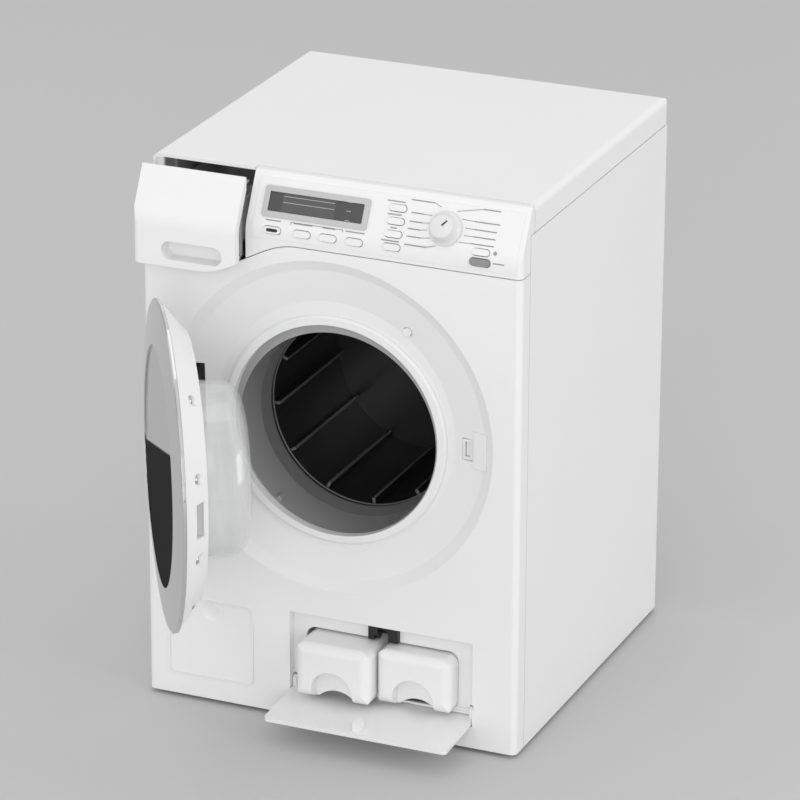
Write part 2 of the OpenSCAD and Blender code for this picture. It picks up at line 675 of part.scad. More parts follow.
// A key: cap, flange behind the panel, and the stem that reaches towards the board
module key_cap(w, h, stem) {
    flange_z = wall + 0.3;
    translate([0, 0, -flange_z - key_flange]) linear_extrude(flange_z + key_flange + key_proud) pill(w, h);
    translate([0, 0, -flange_z - key_flange]) linear_extrude(key_flange) pill(w + 2, h);
    translate([0, 0, -stem]) cylinder(r = 1, h = stem - flange_z);
}
stem_row = 6.2;
stem_slope = board_depth - key_travel - 0.2;
module row_key(i) color("white") on_face(key_row_x[i], key_row_z) key_cap(key_w, key_h, stem_row);
module side_key(i) color("white") on_slope(key_side_x, key_side_s[i]) key_cap(key_w, side_key_h, stem_slope);
module key_side_4() color("white") on_face(key_side_x, key_side_low_z) key_cap(key_w, side_key_h, stem_row);
module key_light() color("white") on_face(light_x, light_z) key_cap(key_w, side_key_h, stem_row);
module key_start() color("gray") on_face(light_x, start_z) key_cap(start_w, start_h, stem_row);

module speaker() color("dimgray") {
    turned(speaker_x, speaker_z) polygon([[0, cover_y - speaker_d], [7, cover_y - speaker_d],
        [7, cover_y - 4.5], [speaker_r - 4.5, cover_y - 1.6], [speaker_r, cover_y - 1.6], [speaker_r, cover_y],
        [0, cover_y]]);
}

// Flat cables: strips with a width along x and a bent path in depth and height
cable_t = 1;
function side_of(a, b) = let (d = b - a) [-d[1], d[0]] / norm(d);
function beside(path, i, off) = let (n0 = side_of(path[max(i - 1, 0)], path[max(i, 1)]),
    n1 = side_of(path[min(i, len(path) - 2)], path[min(i + 1, len(path) - 1)]))
    path[i] + off * (n0 + n1) / (1 + n0 * n1);
module cable(x0, x1, path) along_x(x0, x1) polygon(concat([for (i = [0:len(path) - 1]) beside(path, i, cable_t / 2)],
    reversed([for (i = [0:len(path) - 1]) beside(path, i, -cable_t / 2)])));
function behind_board(s) = [s * sin(lean) + (board_depth + board_t + 0.05) * cos(lean),
    bend_z + s * cos(lean) - (board_depth + board_t + 0.05) * sin(lean)];
cable_x = 70;
cable_y = 60;
cable_w = 6;
module wiring() color("firebrick") {
    cable(cable_x, cable_x + cable_w, [[100, base_z + cable_t / 2 + 0.4], [cable_y, base_z + 40],
        [cable_y, body_h - 80], [26, body_h - 30], behind_board(8)]);
    block(bay_w / 2 + bay_wall, cable_x + cable_w - 0.5, 96, 104, base_z, base_z + cable_t);
    along_z(motor_z - cable_t / 2, motor_z + cable_t / 2) polygon([[motor_r + 0.02, 98], [cable_x + 1, 98],
        [cable_x + 1, cable_y], [cable_x + 5, cable_y], [cable_x + 5, 102], [motor_r + 0.02, 102]]);
    cable(speaker_x + speaker_r - 4, speaker_x + speaker_r, [[cover_y - 2.06, speaker_z], [cover_y - 8, speaker_z + 12],
        [110, body_h - 26], [26, body_h - 30], behind_board(8)]);
}

// Drawer, drawn shut and then pulled out
drawer_x0 = -half_w;
drawer_x1 = -half_w + drawer_w;
drawer_top = body_h - header_t - 0.3;
tray_x0 = drawer_x0 + 8.5;
tray_z0 = body_h - 33;
tray_y0 = drawer_front_d + 1.6;
drawer_edge = 3.4;
pull_w = 29.6;
pull_h = 8.4;
pull_x = drawer_x0 + 28.9;
pull_z = body_h - 36.9;
module drawer_shape(inset) intersection() {
    along_x(drawer_x0 + inset, drawer_x1 - inset)
        polygon(concat(face_line(inset, body_h - 60, drawer_top - inset),
            [[drawer_front_d + inset, drawer_top - inset], [drawer_front_d + inset, body_h - 60]]));
    along_y(-cut, 40) polygon(concat([[drawer_x1, body_h], [drawer_x0, body_h]],
        seam_line(drawer_x0, drawer_x1, seam / 2 + inset)));
}
module pulled_drawer() translate([0, -drawer_out, 0]) children();
module drawer_front() color("white") pulled_drawer() difference() {
    union() {
        difference() {
            intersection() {
                drawer_shape(0);
                along_z(0, body_h) union() {
                    translate([drawer_x0 + edge_r, -cut]) square([drawer_w, 40]);
                    translate([drawer_x0, edge_r]) square([drawer_w, 40]);
                    translate([drawer_x0 + edge_r, edge_r]) circle(edge_r);
                }
            }
            drawer_shape(wall);
        }
        // Cup behind the finger slot
        block(pull_x - pull_w / 2 - 1.2, pull_x + pull_w / 2 + 1.2, wall - 0.5, 8.4,
            pull_z - pull_h / 2 - 0.8, pull_z + pull_h / 2 + 1.2);
    }
    along_y(-cut, 7.2) translate([pull_x, pull_z]) pill(pull_w, pull_h);
    // Open at the side next to the control panel, behind the front skin
    along_x(drawer_x1 - wall - cut, drawer_x1 + cut) polygon(concat(face_line(drawer_edge, body_h - 60, drawer_top + cut),
        [[40, drawer_top + cut], [40, body_h - 60]]));
}
module drawer_box() color("white") pulled_drawer() difference() {
    union() {
        block(tray_x0 - 1, tray_x0 + tray_w + 1, drawer_front_d, tray_y0, tray_z0 - 6, tray_z0 + tray_h + 8);
        block(tray_x0, tray_x0 + tray_w, tray_y0 - 0.5, tray_y0 + tray_l, tray_z0, tray_z0 + tray_h);
    }
    difference() {
        block(tray_x0 + 1.6, tray_x0 + tray_w - 1.6, tray_y0, tray_y0 + tray_l - 1.6, tray_z0 + 1.6, body_h);
        for (k = [1, 2]) block(tray_x0, tray_x0 + tray_w, tray_y0 + k * tray_l / 3, tray_y0 + k * tray_l / 3 + 1.4,
            tray_z0, tray_z0 + tray_h - 4);
    }
}
runner_gap = 0.4;
module drawer_runner() color("gainsboro") {
    x0 = tray_x0 - runner_gap;
    x1 = tray_x0 + tray_w + runner_gap;
    y0 = tray_y0 + 2.4;
    y1 = tray_y0 + tray_l + 4;
    z0 = tray_z0 - runner_gap;
    block(x0 - 1.6, x1 + 1.6, y0, y1, z0 - 1.8, z0);
    for (x = [x0 - 1.6, x1]) block(x, x + 1.6, y0, y1, z0 - 0.5, z0 + 10);
    for (y = [y0, (y0 + y1) / 2, y1 - 8]) block(-inner_w, x0 - 1, y, y + 8, z0 - 1.8, z0 + 6);
}

// Door, drawn shut and then turned about its pin
rim_y = -door_rim;
crown_y = rim_y - 2.4;
ring_r = door_r - 14.2;
rim_step = door_r - 1;
ring_floor = ring_y - 2;
screw_head_y = -0.5;
screw_boss_y = -4.6;
door_screw_angles = [47, 16.5, -16.5, -47, 145, 215];
module opened() translate([hinge_x, hinge_y, 0]) rotate([0, 0, -door_open]) translate([-hinge_x, -hinge_y, 0])
    children();
module at_door_screws() for (a = door_screw_angles)
    translate([screw_ring_r * cos(a), 0, door_z + screw_ring_r * sin(a)]) children();

module door_bezel() color("silver") opened() difference() {
    union() {
        turned(0, door_z) polygon([[window_r, crown_y], [door_r - 1, rim_y - 0.5], [door_r, rim_y],
            [door_r, rim_y + 1.2], [window_r + 1.5, crown_y + 2.4], [window_r + 1.5, crown_y + 0.8],
            [window_r, crown_y + 0.8]]);
        at_door_screws() rod_y(0, 0, 2.6, rim_y + 0.4, screw_boss_y);
    }
    at_door_screws() rod_y(0, 0, 1.1, rim_y + 1, 0);
}
module door_window() color("dimgray") opened()
    rod_y(0, door_z, window_r + 1.4, crown_y + 0.8, crown_y + 0.8 + window_t);

module ring_solid() polygon([[0, ring_y], [ring_r, ring_y], [rim_step, rim_y + 1.4], [0, rim_y + 1.4]]);
module door_ring() color("white") opened() difference() {
    union() {
        turned(0, door_z) polygon([[0, ring_y], [ring_r, ring_y], [rim_step, rim_y + 1.4],
            [rim_step - 2.7, rim_y + 1.4], [ring_r - 0.9, ring_floor], [0, ring_floor]]);
        turned(0, door_z) polygon([[window_r - 0.5, crown_y + 0.85 + window_t], [window_r + 1.5, crown_y + 0.85 + window_t],
            [window_r + 1.5, ring_floor + 0.2], [window_r - 0.5, ring_floor + 0.2]]);
        intersection() {
            at_door_screws() rod_y(0, 0, 3.25, screw_boss_y, ring_y);
            turned(0, door_z) ring_solid();
        }
    }
    rod_y(0, mouth_z, bowl_r + 0.35, -20, 20);
    at_door_screws() {
        rod_y(0, 0, 1.1, -20, 0);
        rod_y(0, 0, 2.4, screw_head_y - 1.5, 10);
    }
    // Slot for the latch, and the gap that the hinge arm passes through
    block(ring_r - 2, door_r + cut, -1.5, 1.9, door_z - 8, door_z + 8);
    block(-72, -ring_r + 3.5, -0.2, ring_floor, door_z - arm_h / 2 - 0.5, door_z + arm_h / 2 + 0.5);
}

bowl_corner = 8;
bowl_mid_r = bowl_r - 1.4;
module bowl_outline(t) polygon(concat([[0, ring_floor - 5], [bowl_r - t, ring_floor - 5], [bowl_r - t, ring_floor],
    [bowl_mid_r - t, bowl_end - bowl_corner]],
    [for (i = [0:steps]) let (a = 90 * i / steps)
        [bowl_mid_r - bowl_corner + (bowl_corner - t) * cos(a), bowl_end - bowl_corner + (bowl_corner - t) * sin(a)]],
    [[0, bowl_end - t]]));
module door_bowl() color("azure", 0.4) opened() turned(0, mouth_z) difference() {
    union() {
        intersection() {
            bowl_outline(0);
            translate([0, ring_floor - 1.5]) square([100, 100]);
        }
        translate([0, ring_floor - 1.5]) square([bowl_r + 7, 1.5]);
    }
    bowl_outline(bowl_t);
}
module door_screws() color("silver") opened() at_door_screws() {
    rod_y(0, 0, 2.2, screw_head_y - 1.5, screw_head_y);
    rod_y(0, 0, 1.1, rim_y + 1.2, screw_head_y - 1.5);
}

arm_t = 2;
arm_back = 14;
arm_x = hinge_x + 10.7;
module door_hinge_arm() color("white") opened() difference() {
    union() {
        translate([0, 0, door_z - arm_h / 2]) {
            block(arm_x - 1, -window_r - 2.5, ring_floor - arm_t, ring_floor, 0, arm_h);
            block(arm_x, arm_x + 3, ring_floor - arm_t, arm_back, 0, arm_h);
            block(hinge_x - 2.3, arm_x + 3, arm_back - arm_t, arm_back, 0, arm_h);
            block(hinge_x - 2.3, hinge_x + 1.7, hinge_y, arm_back, 0, arm_h);
        }
        rod_z(hinge_x, hinge_y, knuckle_r, door_z - arm_h / 2, door_z + arm_h / 2);
    }
    rod_z(hinge_x, hinge_y, pin_r + turn_gap, 0, body_h);
}
module hinge_pin() color("silver")
    rod_z(hinge_x, hinge_y, pin_r, door_z - slot_h / 2 - lug_h + cut, door_z + slot_h / 2 + lug_h - cut);

module door_catch() color("gray") difference() {
    union() {
        block(catch_x - catch_w / 2, catch_x + catch_w / 2, 5.4, catch_seat + 1.5, catch_z - catch_h / 2, catch_z + catch_h / 2);
        block(catch_x - 4.4, catch_x + 4.4, catch_seat, catch_seat + 1.5, catch_z - 7, catch_z + 7);
    }
    block(catch_x - catch_w / 2 + 1, catch_x + catch_w / 2 - 1, 0, 10, catch_z - 3.6, catch_z + 3.6);
}
module door_switch_pin() color("white") {
    rod_y(plunger_x, plunger_z, plunger_r, plunger_tip, plunger_seat + 3);
    rod_y(plunger_x, plunger_z, plunger_r + 1.2, plunger_seat + slide_gap, plunger_seat + 1.3);
}

// Drum and what turns it
drum_z = mouth_z - drum_drop;
collar_y = dish_depth + dish_t;
collar_end = 31.5;
ring_end = 38.4;
drum_y = ring_end + 0.5;
drum_end = drum_y + drum_d;
module collar() color("gray") {
    turned(0, drum_z) polygon([[collar_r, collar_y], [collar_r + 8, collar_y], [collar_r + 8, collar_y + 1.6],
        [collar_r + 1.6, collar_y + 1.6], [collar_r + 1.6, collar_end - 1.6], [collar_r + 5, collar_end - 1.6],
        [collar_r + 5, collar_end], [collar_r, collar_end]]);
    // Small moulded nub low on the left
    rotate_about_drum(-128.5) translate([collar_r - 1.4, -1.2, collar_y + 2]) cube([2, 2.4, 4]);
}
module rotate_about_drum(a) translate([0, 0, drum_z]) rotate([-90, 0, 0]) rotate([0, 0, -a]) children();
module drum_ring() color("dimgray") turned(0, drum_z) polygon([[collar_r, collar_end], [collar_r + 5, collar_end],
    [collar_r + 5, ring_end], [drum_r - 3, ring_end]]);

hub_r = 8;
hub_l = 6;
module drum() color([0.2, 0.2, 0.22]) difference() {
    union() {
        turned(0, drum_z) polygon([[drum_r - 3, drum_y], [drum_r, drum_y], [drum_r, drum_end], [0, drum_end],
            [0, drum_end - drum_t], [drum_r - drum_t, drum_end - drum_t], [drum_r - drum_t, drum_y + drum_t],
            [drum_r - 3, drum_y + drum_t]]);
        for (k = [0:rib_count - 1]) rotate_about_drum(5 + 360 * k / rib_count)
            translate([drum_r - drum_t - rib_h, -0.6, drum_y + 3]) cube([rib_h + 0.5, 1.2, drum_d - 7]);
        rod_y(0, drum_z, hub_r, drum_end - 0.5, drum_end + hub_l);
    }
    rod_y(0, drum_z, shaft_r, drum_y, drum_end + hub_l + cut);
}

plate_y = drum_end + hub_l + 2;
plate_t = 3;
pulley_y = plate_y + plate_t + 2.4;
pulley_t = 7.2;
belt_y = pulley_y + pulley_t / 2;
groove_r = belt_t / 2 + slide_gap;
motor_z = drum_z - belt_drop;
plate_half = drive_r + 2;
module drum_shaft() color("silver") rod_y(0, drum_z, shaft_r, drum_end - drum_t, pulley_y + pulley_t + 2);
module shaft_bush() color("goldenrod") difference() {
    union() {
        rod_y(0, drum_z, 7, plate_y - 1.6, plate_y);
        rod_y(0, drum_z, 5, plate_y, plate_y + plate_t + 1.6);
    }
    rod_y(0, drum_z, shaft_r + turn_gap, 0, body_d);
}
module pulley(z, pitch_r, hub) {
    rim_r = pitch_r + groove_r;
    difference() {
        rod_y(0, z, rim_r, pulley_y, pulley_y + pulley_t);
        translate([0, belt_y, z]) rotate([-90, 0, 0]) rotate_extrude($fn = 128)
            translate([pitch_r - groove_r, -groove_r]) square([2 * groove_r + cut, 2 * groove_r]);
        if (hub > 0) for (side = [0, 1]) translate([0, pulley_y + side * pulley_t, z]) rotate([-90, 0, 0])
            rotate_extrude() translate([hub, -2]) square([pitch_r - groove_r - 2.5 - hub, 4]);
    }
}
module drive_pulley() color("gray") difference() {
    union() {
        pulley(drum_z, drive_r, 7);
        rod_y(0, drum_z, 6, pulley_y - 0.4, pulley_y + pulley_t + 1);
    }
    rod_y(0, drum_z, shaft_r, 0, body_d);
}
module motor_pulley() color("gray") {
    pulley(motor_z, motor_pulley_r, 0);
    rod_y(0, motor_z, 1, plate_y - 14, pulley_y + pulley_t);
}
belt_tilt = asin((drive_r - motor_pulley_r) / belt_drop);
belt_steps = 48;
function belt_arc(z, r, from, sweep) = [for (i = [0:belt_steps]) let (a = from + sweep * i / belt_steps)
    [r * cos(a), z + r * sin(a)]];
module belt_outline(grow) polygon(concat(belt_arc(drum_z, drive_r + grow, -belt_tilt, 180 + 2 * belt_tilt),
    belt_arc(motor_z, motor_pulley_r + grow, 180 + belt_tilt, 180 - 2 * belt_tilt)));
module drive_belt() color([0.15, 0.15, 0.15]) along_y(belt_y - belt_t / 2, belt_y + belt_t / 2) difference() {
    belt_outline(belt_t / 2);
    belt_outline(-belt_t / 2);
}
module motor() color("silver") difference() {
    union() {
        rod_y(0, motor_z, motor_r, plate_y - motor_l, plate_y);
        rod_y(0, motor_z, 3, plate_y - cut, plate_y + plate_t - 0.2);
    }
    rod_y(0, motor_z, 1 + turn_gap, plate_y - 14.3, body_d);
}
module motor_bracket() color("gainsboro") difference() {
    union() {
        block(-plate_half, plate_half, plate_y, plate_y + plate_t, base_z, drum_z + 24);
        block(-plate_half, plate_half, plate_y, plate_y + 24, base_z, base_z + 3);
        for (x = [-plate_half, plate_half - 2]) along_x(x, x + 2)
            polygon([[plate_y + 1, base_z + 1], [plate_y + 22, base_z + 1], [plate_y + 1, base_z + 40]]);
    }
    rod_y(0, drum_z, 5, 0, body_d);
    rod_y(0, motor_z, 3.05, 0, body_d);
}

// Flap, drawn shut against the front plane and then laid down about its pins
nub_w = 3.8;
nub_h = 4.5;
nub_l = 5;
module laid_down() translate([0, flap_pin_y, flap_pin_z]) rotate([90 + flap_down, 0, 0])
    translate([0, -flap_pin_y, -flap_pin_z]) children();
module flap() color("white") laid_down() difference() {
    union() {
        along_y(0, flap_t) translate([flap_x, flap_low + flap_h / 2]) round_rect(flap_w, flap_h, 2);
        translate([latch_x, 0, flap_low + flap_h - 2.6 - nub_l])
            block(-nub_w / 2, nub_w / 2, flap_t - 0.2, flap_t + nub_h, 0, nub_l);
        for (x = [recess_x0 + flap_gap, recess_x1 - flap_gap - ear_w]) {
            rod_x(flap_pin_y, flap_pin_z, ear_r, x, x + ear_w);
            block(x, x + ear_w, flap_t - 0.2, flap_pin_y, flap_pin_z - ear_r, flap_pin_z + ear_r);
        }
    }
    rod_x(flap_pin_y, flap_pin_z, flap_pin_r + turn_gap, recess_x0 - cut, recess_x1 + cut);
}
module flap_pins() color("silver") {
    rod_x(flap_pin_y, flap_pin_z, flap_pin_r, recess_x0 - pin_boss, recess_x0 + flap_gap + ear_w + 0.3);
    rod_x(flap_pin_y, flap_pin_z, flap_pin_r, recess_x1 - flap_gap - ear_w - 0.3, recess_x1 + pin_boss);
}
latch_y0 = 2.8;
module flap_latch() color([0.12, 0.12, 0.12]) translate([latch_x, 0, latch_z]) difference() {
    union() {
        block(-latch_w / 2, latch_w / 2, latch_y0, recess_y + recess_t + 0.2, -latch_h / 2, latch_h / 2);
        block(-latch_w / 2 + 1, latch_w / 2 - 1, recess_y, recess_y + 6.5, -latch_h / 2 + 1.4, latch_h / 2 - 0.5);
        block(-latch_w / 2 - 1.5, latch_w / 2 + 1.5, recess_y + recess_t, recess_y + recess_t + 1.2, -latch_h / 2 + 2, latch_h / 2);
    }
    block(-latch_w / 2 + 3, nub_w / 2 + 0.5, -cut, recess_y, -latch_h / 2 - cut, -latch_h / 2 + 2.4);
    block(-nub_w / 2 - 0.6, nub_w / 2 + 0.6, -cut, recess_y + 3.4, -latch_h / 2 - cut, latch_h / 2 - 1.2);
}

// A dispenser box: open below, with round edges, a thumb niche that is open below, and a low arch behind it
arch_w = 17;
arch_h = 3.6;
arch_r = (arch_w * arch_w / 4 + arch_h * arch_h) / (2 * arch_h);
scoop_w = 20;
scoop_top = 15;
scoop_d = 6.5;
module dispenser_box(x, out) translate([x, -out, box_z]) difference() {
    intersection() {
        along_y(0, box_l) translate([0, box_h / 2]) round_rect(box_w, box_h, box_edge);
        along_x(-box_w, box_w) {
            translate([0, box_toe]) square([box_l, box_h - box_edge - box_toe]);
            translate([box_toe, 0]) square([box_l, box_h]);
            translate([box_edge, box_toe]) square([box_l, box_h - box_toe]);
            translate([box_edge, box_h - box_edge]) circle(box_edge);
            translate([box_toe, box_toe]) circle(box_toe);
        }
        along_z(-cut, box_h + cut) {
            translate([-box_w / 2 + box_edge, 0]) square([box_w - 2 * box_edge, box_l]);
            translate([-box_w / 2, box_edge]) square([box_w, box_l]);
            for (side = [-1, 1]) translate([side * (box_w / 2 - box_edge), box_edge]) circle(box_edge);
        }
    }
    block(-box_w / 2 + box_wall + 0.8, box_w / 2 - box_wall - 0.8, scoop_d + 2, box_l - box_wall, -cut, box_h - box_wall);
    translate([0, 0, arch_h - arch_r]) rod_y(0, 0, arch_r, -cut, scoop_d + 3);
    along_y(-cut, scoop_d) {
        translate([0, scoop_top - scoop_w / 2]) circle(scoop_w / 2);
        translate([-scoop_w / 2, -cut]) square([scoop_w, scoop_top - scoop_w / 2 + cut]);
    }
}
module cartridge_left() color("white") dispenser_box(box_x_left + 0.9, left_out);
module cartridge_right() color("white") dispenser_box(box_x_left + 0.9 + box_pitch, right_out);

// Sleeve behind the recess that the boxes slide in
sleeve_end = box_home + box_l + 2;
sleeve_t = 1.2;
module cartridge_housing() color("gainsboro") difference() {
    union() {
        difference() {
            block(hole_x - hole_w / 2 - sleeve_t, hole_x + hole_w / 2 + sleeve_t, recess_y + recess_t, sleeve_end,
                hole_z0 - sleeve_t, hole_z1 + sleeve_t);
            block(hole_x - hole_w / 2, hole_x + hole_w / 2, 0, sleeve_end - sleeve_t, hole_z0, hole_z1);
        }
        // Rails between the two boxes
        for (z = [[hole_z0 - 0.2, hole_z0 + 1.8], [hole_z1 - 2.4, hole_z1 + 0.2]])
            block(box_x_left + 0.9 + box_pitch / 2 - 0.8, box_x_left + 0.9 + box_pitch / 2 + 0.8,
                recess_y + 7, sleeve_end - 0.5, z[0], z[1]);
    }
    block(hole_x - hole_w, hole_x + hole_w, 0, flap_pin_y + 5.6, 0, flap_pin_z + ear_r + 0.4);
    block(latch_x - latch_w / 2 - 2, latch_x + latch_w / 2 + 2, 0, recess_y + 7, hole_z1 - 0.5, body_h);
}

placed() cabinet();
placed() rear_cover();
placed() rear_screws();
placed() front_panel();
placed() top_lid();
placed() base_plate();
placed() base_screws();
placed() feet();
placed() battery_cover();
placed() batteries();
placed() battery_contacts();
placed() control_panel();
placed() fascia_sheet();
placed() display_frame();
placed() display_window();
placed() program_knob();
placed() rotary_switch();
placed() circuit_board();
placed() speaker();
placed() wiring();
placed() row_key(0);  // key_power
placed() row_key(1);  // key_option_1
placed() row_key(2);  // key_option_2
placed() row_key(3);  // key_option_3
placed() side_key(0);  // key_side_1
placed() side_key(1);  // key_side_2
placed() side_key(2);  // key_side_3
placed() key_side_4();
placed() key_light();
placed() key_start();
placed() drawer_front();
placed() drawer_box();
placed() drawer_runner();
placed() door_bezel();
placed() door_window();
placed() door_ring();
placed() door_bowl();
placed() door_screws();
placed() door_hinge_arm();
placed() hinge_pin();
placed() door_catch();
placed() door_switch_pin();
placed() collar();
placed() drum_ring();
placed() drum();
placed() drum_shaft();
placed() shaft_bush();
placed() drive_pulley();
placed() drive_belt();
placed() motor_pulley();
placed() motor();
placed() motor_bracket();
placed() flap();
placed() flap_pins();
placed() flap_latch();
placed() cartridge_left();
placed() cartridge_right();
placed() cartridge_housing();
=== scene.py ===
import json
import math

import bmesh
import bpy
from mathutils import Matrix, Vector


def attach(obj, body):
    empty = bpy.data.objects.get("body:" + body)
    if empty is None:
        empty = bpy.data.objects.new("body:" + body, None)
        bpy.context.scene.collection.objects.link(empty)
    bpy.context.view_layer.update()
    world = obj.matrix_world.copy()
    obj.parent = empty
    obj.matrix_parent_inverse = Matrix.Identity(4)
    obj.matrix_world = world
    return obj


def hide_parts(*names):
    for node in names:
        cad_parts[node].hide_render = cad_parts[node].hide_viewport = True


mm = 0.001
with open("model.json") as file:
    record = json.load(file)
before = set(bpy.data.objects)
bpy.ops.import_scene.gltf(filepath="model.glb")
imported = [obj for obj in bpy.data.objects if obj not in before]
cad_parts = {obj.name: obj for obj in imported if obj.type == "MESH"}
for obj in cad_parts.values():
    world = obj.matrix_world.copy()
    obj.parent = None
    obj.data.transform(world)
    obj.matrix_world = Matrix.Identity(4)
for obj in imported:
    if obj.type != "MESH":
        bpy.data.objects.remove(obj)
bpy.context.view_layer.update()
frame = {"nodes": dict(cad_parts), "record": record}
nodes = frame["nodes"]

# Where the body stands: its front plane, and the lean of the sloping panel
body = {"frontY": -90.75, "bendZ": 237.0, "bendR": 16.0, "lean": math.radians(27.5)}


def at(x, y, z):
    return Vector((x * mm, (y + body["frontY"]) * mm, z * mm))


def onSlope(x, s, out=0.0):  # s runs up the slope, out stands off it
    c, n = math.cos(body["lean"]), math.sin(body["lean"])
    return at(x, s * n - out * c, body["bendZ"] + s * c + out * n)


def faceAngle(z):
    start = body["bendZ"] - body["bendR"] * math.tan(body["lean"] / 2)
    return math.asin(max(0.0, min(math.sin(body["lean"]), (z - start) / body["bendR"])))


def onBend(x, z, out=0.0):  # on the bend below the slope
    a = faceAngle(z)
    return at(x, body["bendR"] * (1 - math.cos(a)) - out * math.cos(a), z + out * math.sin(a))


# Camera at the photograph's viewing angle
view = {"place": (802.03, -1793.81, 935.82), "azimuth": 23.168, "elevation": 21.545, "roll": 0.238, "lens": 213.483}
camData = bpy.data.cameras.new("viewCamera")
camData.lens, camData.sensor_width = view["lens"], 36
camData.clip_start, camData.clip_end = 0.05, 30
camera = bpy.data.objects.new("viewCamera", camData)
bpy.context.scene.collection.objects.link(camera)
az, el, roll = (math.radians(view[k]) for k in ("azimuth", "elevation", "roll"))
back = Vector((math.sin(az) * math.cos(el), -math.cos(az) * math.cos(el), math.sin(el)))
right = (-back).cross(Vector((0, 0, 1))).normalized()
up = right.cross(-back)
right, up = math.cos(roll) * right + math.sin(roll) * up, math.cos(roll) * up - math.sin(roll) * right
camera.matrix_world = Matrix.Translation(at(*view["place"])) @ Matrix((right, up, back)).transposed().to_4x4()
bpy.context.scene.camera = camera
bpy.context.scene.view_settings.view_transform = "Standard"
print("camera placed")


# Finishes
def newGroup(name, inputs, outputs):
    group = bpy.data.node_groups.new(name, "ShaderNodeTree")
    for label, kind, value in inputs:
        socket = group.interface.new_socket(label, in_out="INPUT", socket_type=kind)
        socket.default_value = value
    for label, kind in outputs:
        group.interface.new_socket(label, in_out="OUTPUT", socket_type=kind)
    tree = group.nodes
    return group, tree, group.links.new, tree.new("NodeGroupInput"), tree.new("NodeGroupOutput")


def mathNode(tree, operation, value=None):
    node = tree.new("ShaderNodeMath")
    node.operation = operation
    if value is not None:
        node.inputs[1].default_value = value
    return node


# Moulded plastic: fine grain in the bump, slow drift in tone and gloss, softened edges
def buildMouldedSkin():
    group, tree, link, given, out = newGroup("mouldedSkin", [
        ("Color", "NodeSocketColor", (0.8, 0.8, 0.8, 1)), ("Tone Drift", "NodeSocketFloat", 0.03),
        ("Roughness", "NodeSocketFloat", 0.35), ("Gloss Drift", "NodeSocketFloat", 0.08),
        ("Grain Scale", "NodeSocketFloat", 1500.0), ("Grain Depth", "NodeSocketFloat", 0.08),
        ("Edge Radius", "NodeSocketFloat", 0.0003)],
        [("Color", "NodeSocketColor"), ("Roughness", "NodeSocketFloat"), ("Normal", "NodeSocketVector")])
    place = tree.new("ShaderNodeTexCoord")
    drift = tree.new("ShaderNodeTexNoise")
    drift.inputs["Scale"].default_value, drift.inputs["Detail"].default_value = 22, 3
    grain = tree.new("ShaderNodeTexNoise")
    grain.inputs["Detail"].default_value = 2
    for node in (drift, grain):
        link(place.outputs["Object"], node.inputs["Vector"])
    link(given.outputs["Grain Scale"], grain.inputs["Scale"])
    centred = mathNode(tree, "SUBTRACT", 0.5)
    link(drift.outputs["Fac"], centred.inputs[0])
    toneStep, glossStep = mathNode(tree, "MULTIPLY"), mathNode(tree, "MULTIPLY")
    for step, label in ((toneStep, "Tone Drift"), (glossStep, "Gloss Drift")):
        link(centred.outputs[0], step.inputs[0])
        link(given.outputs[label], step.inputs[1])
    shade = tree.new("ShaderNodeHueSaturation")
    brighter = mathNode(tree, "ADD", 1.0)
    link(toneStep.outputs[0], brighter.inputs[0])
    link(brighter.outputs[0], shade.inputs["Value"])
    link(given.outputs["Color"], shade.inputs["Color"])
    rough = mathNode(tree, "ADD")
    link(given.outputs["Roughness"], rough.inputs[0])
    link(glossStep.outputs[0], rough.inputs[1])
    edge = tree.new("ShaderNodeBevel")
    edge.samples = 4
    link(given.outputs["Edge Radius"], edge.inputs["Radius"])
    bump = tree.new("ShaderNodeBump")
    bump.inputs["Distance"].default_value = 0.0002
    link(given.outputs["Grain Depth"], bump.inputs["Strength"])
    link(grain.outputs["Fac"], bump.inputs["Height"])
    link(edge.outputs["Normal"], bump.inputs["Normal"])
    link(shade.outputs["Color"], out.inputs["Color"])
    link(rough.outputs[0], out.inputs["Roughness"])
    link(bump.outputs["Normal"], out.inputs["Normal"])
    return group


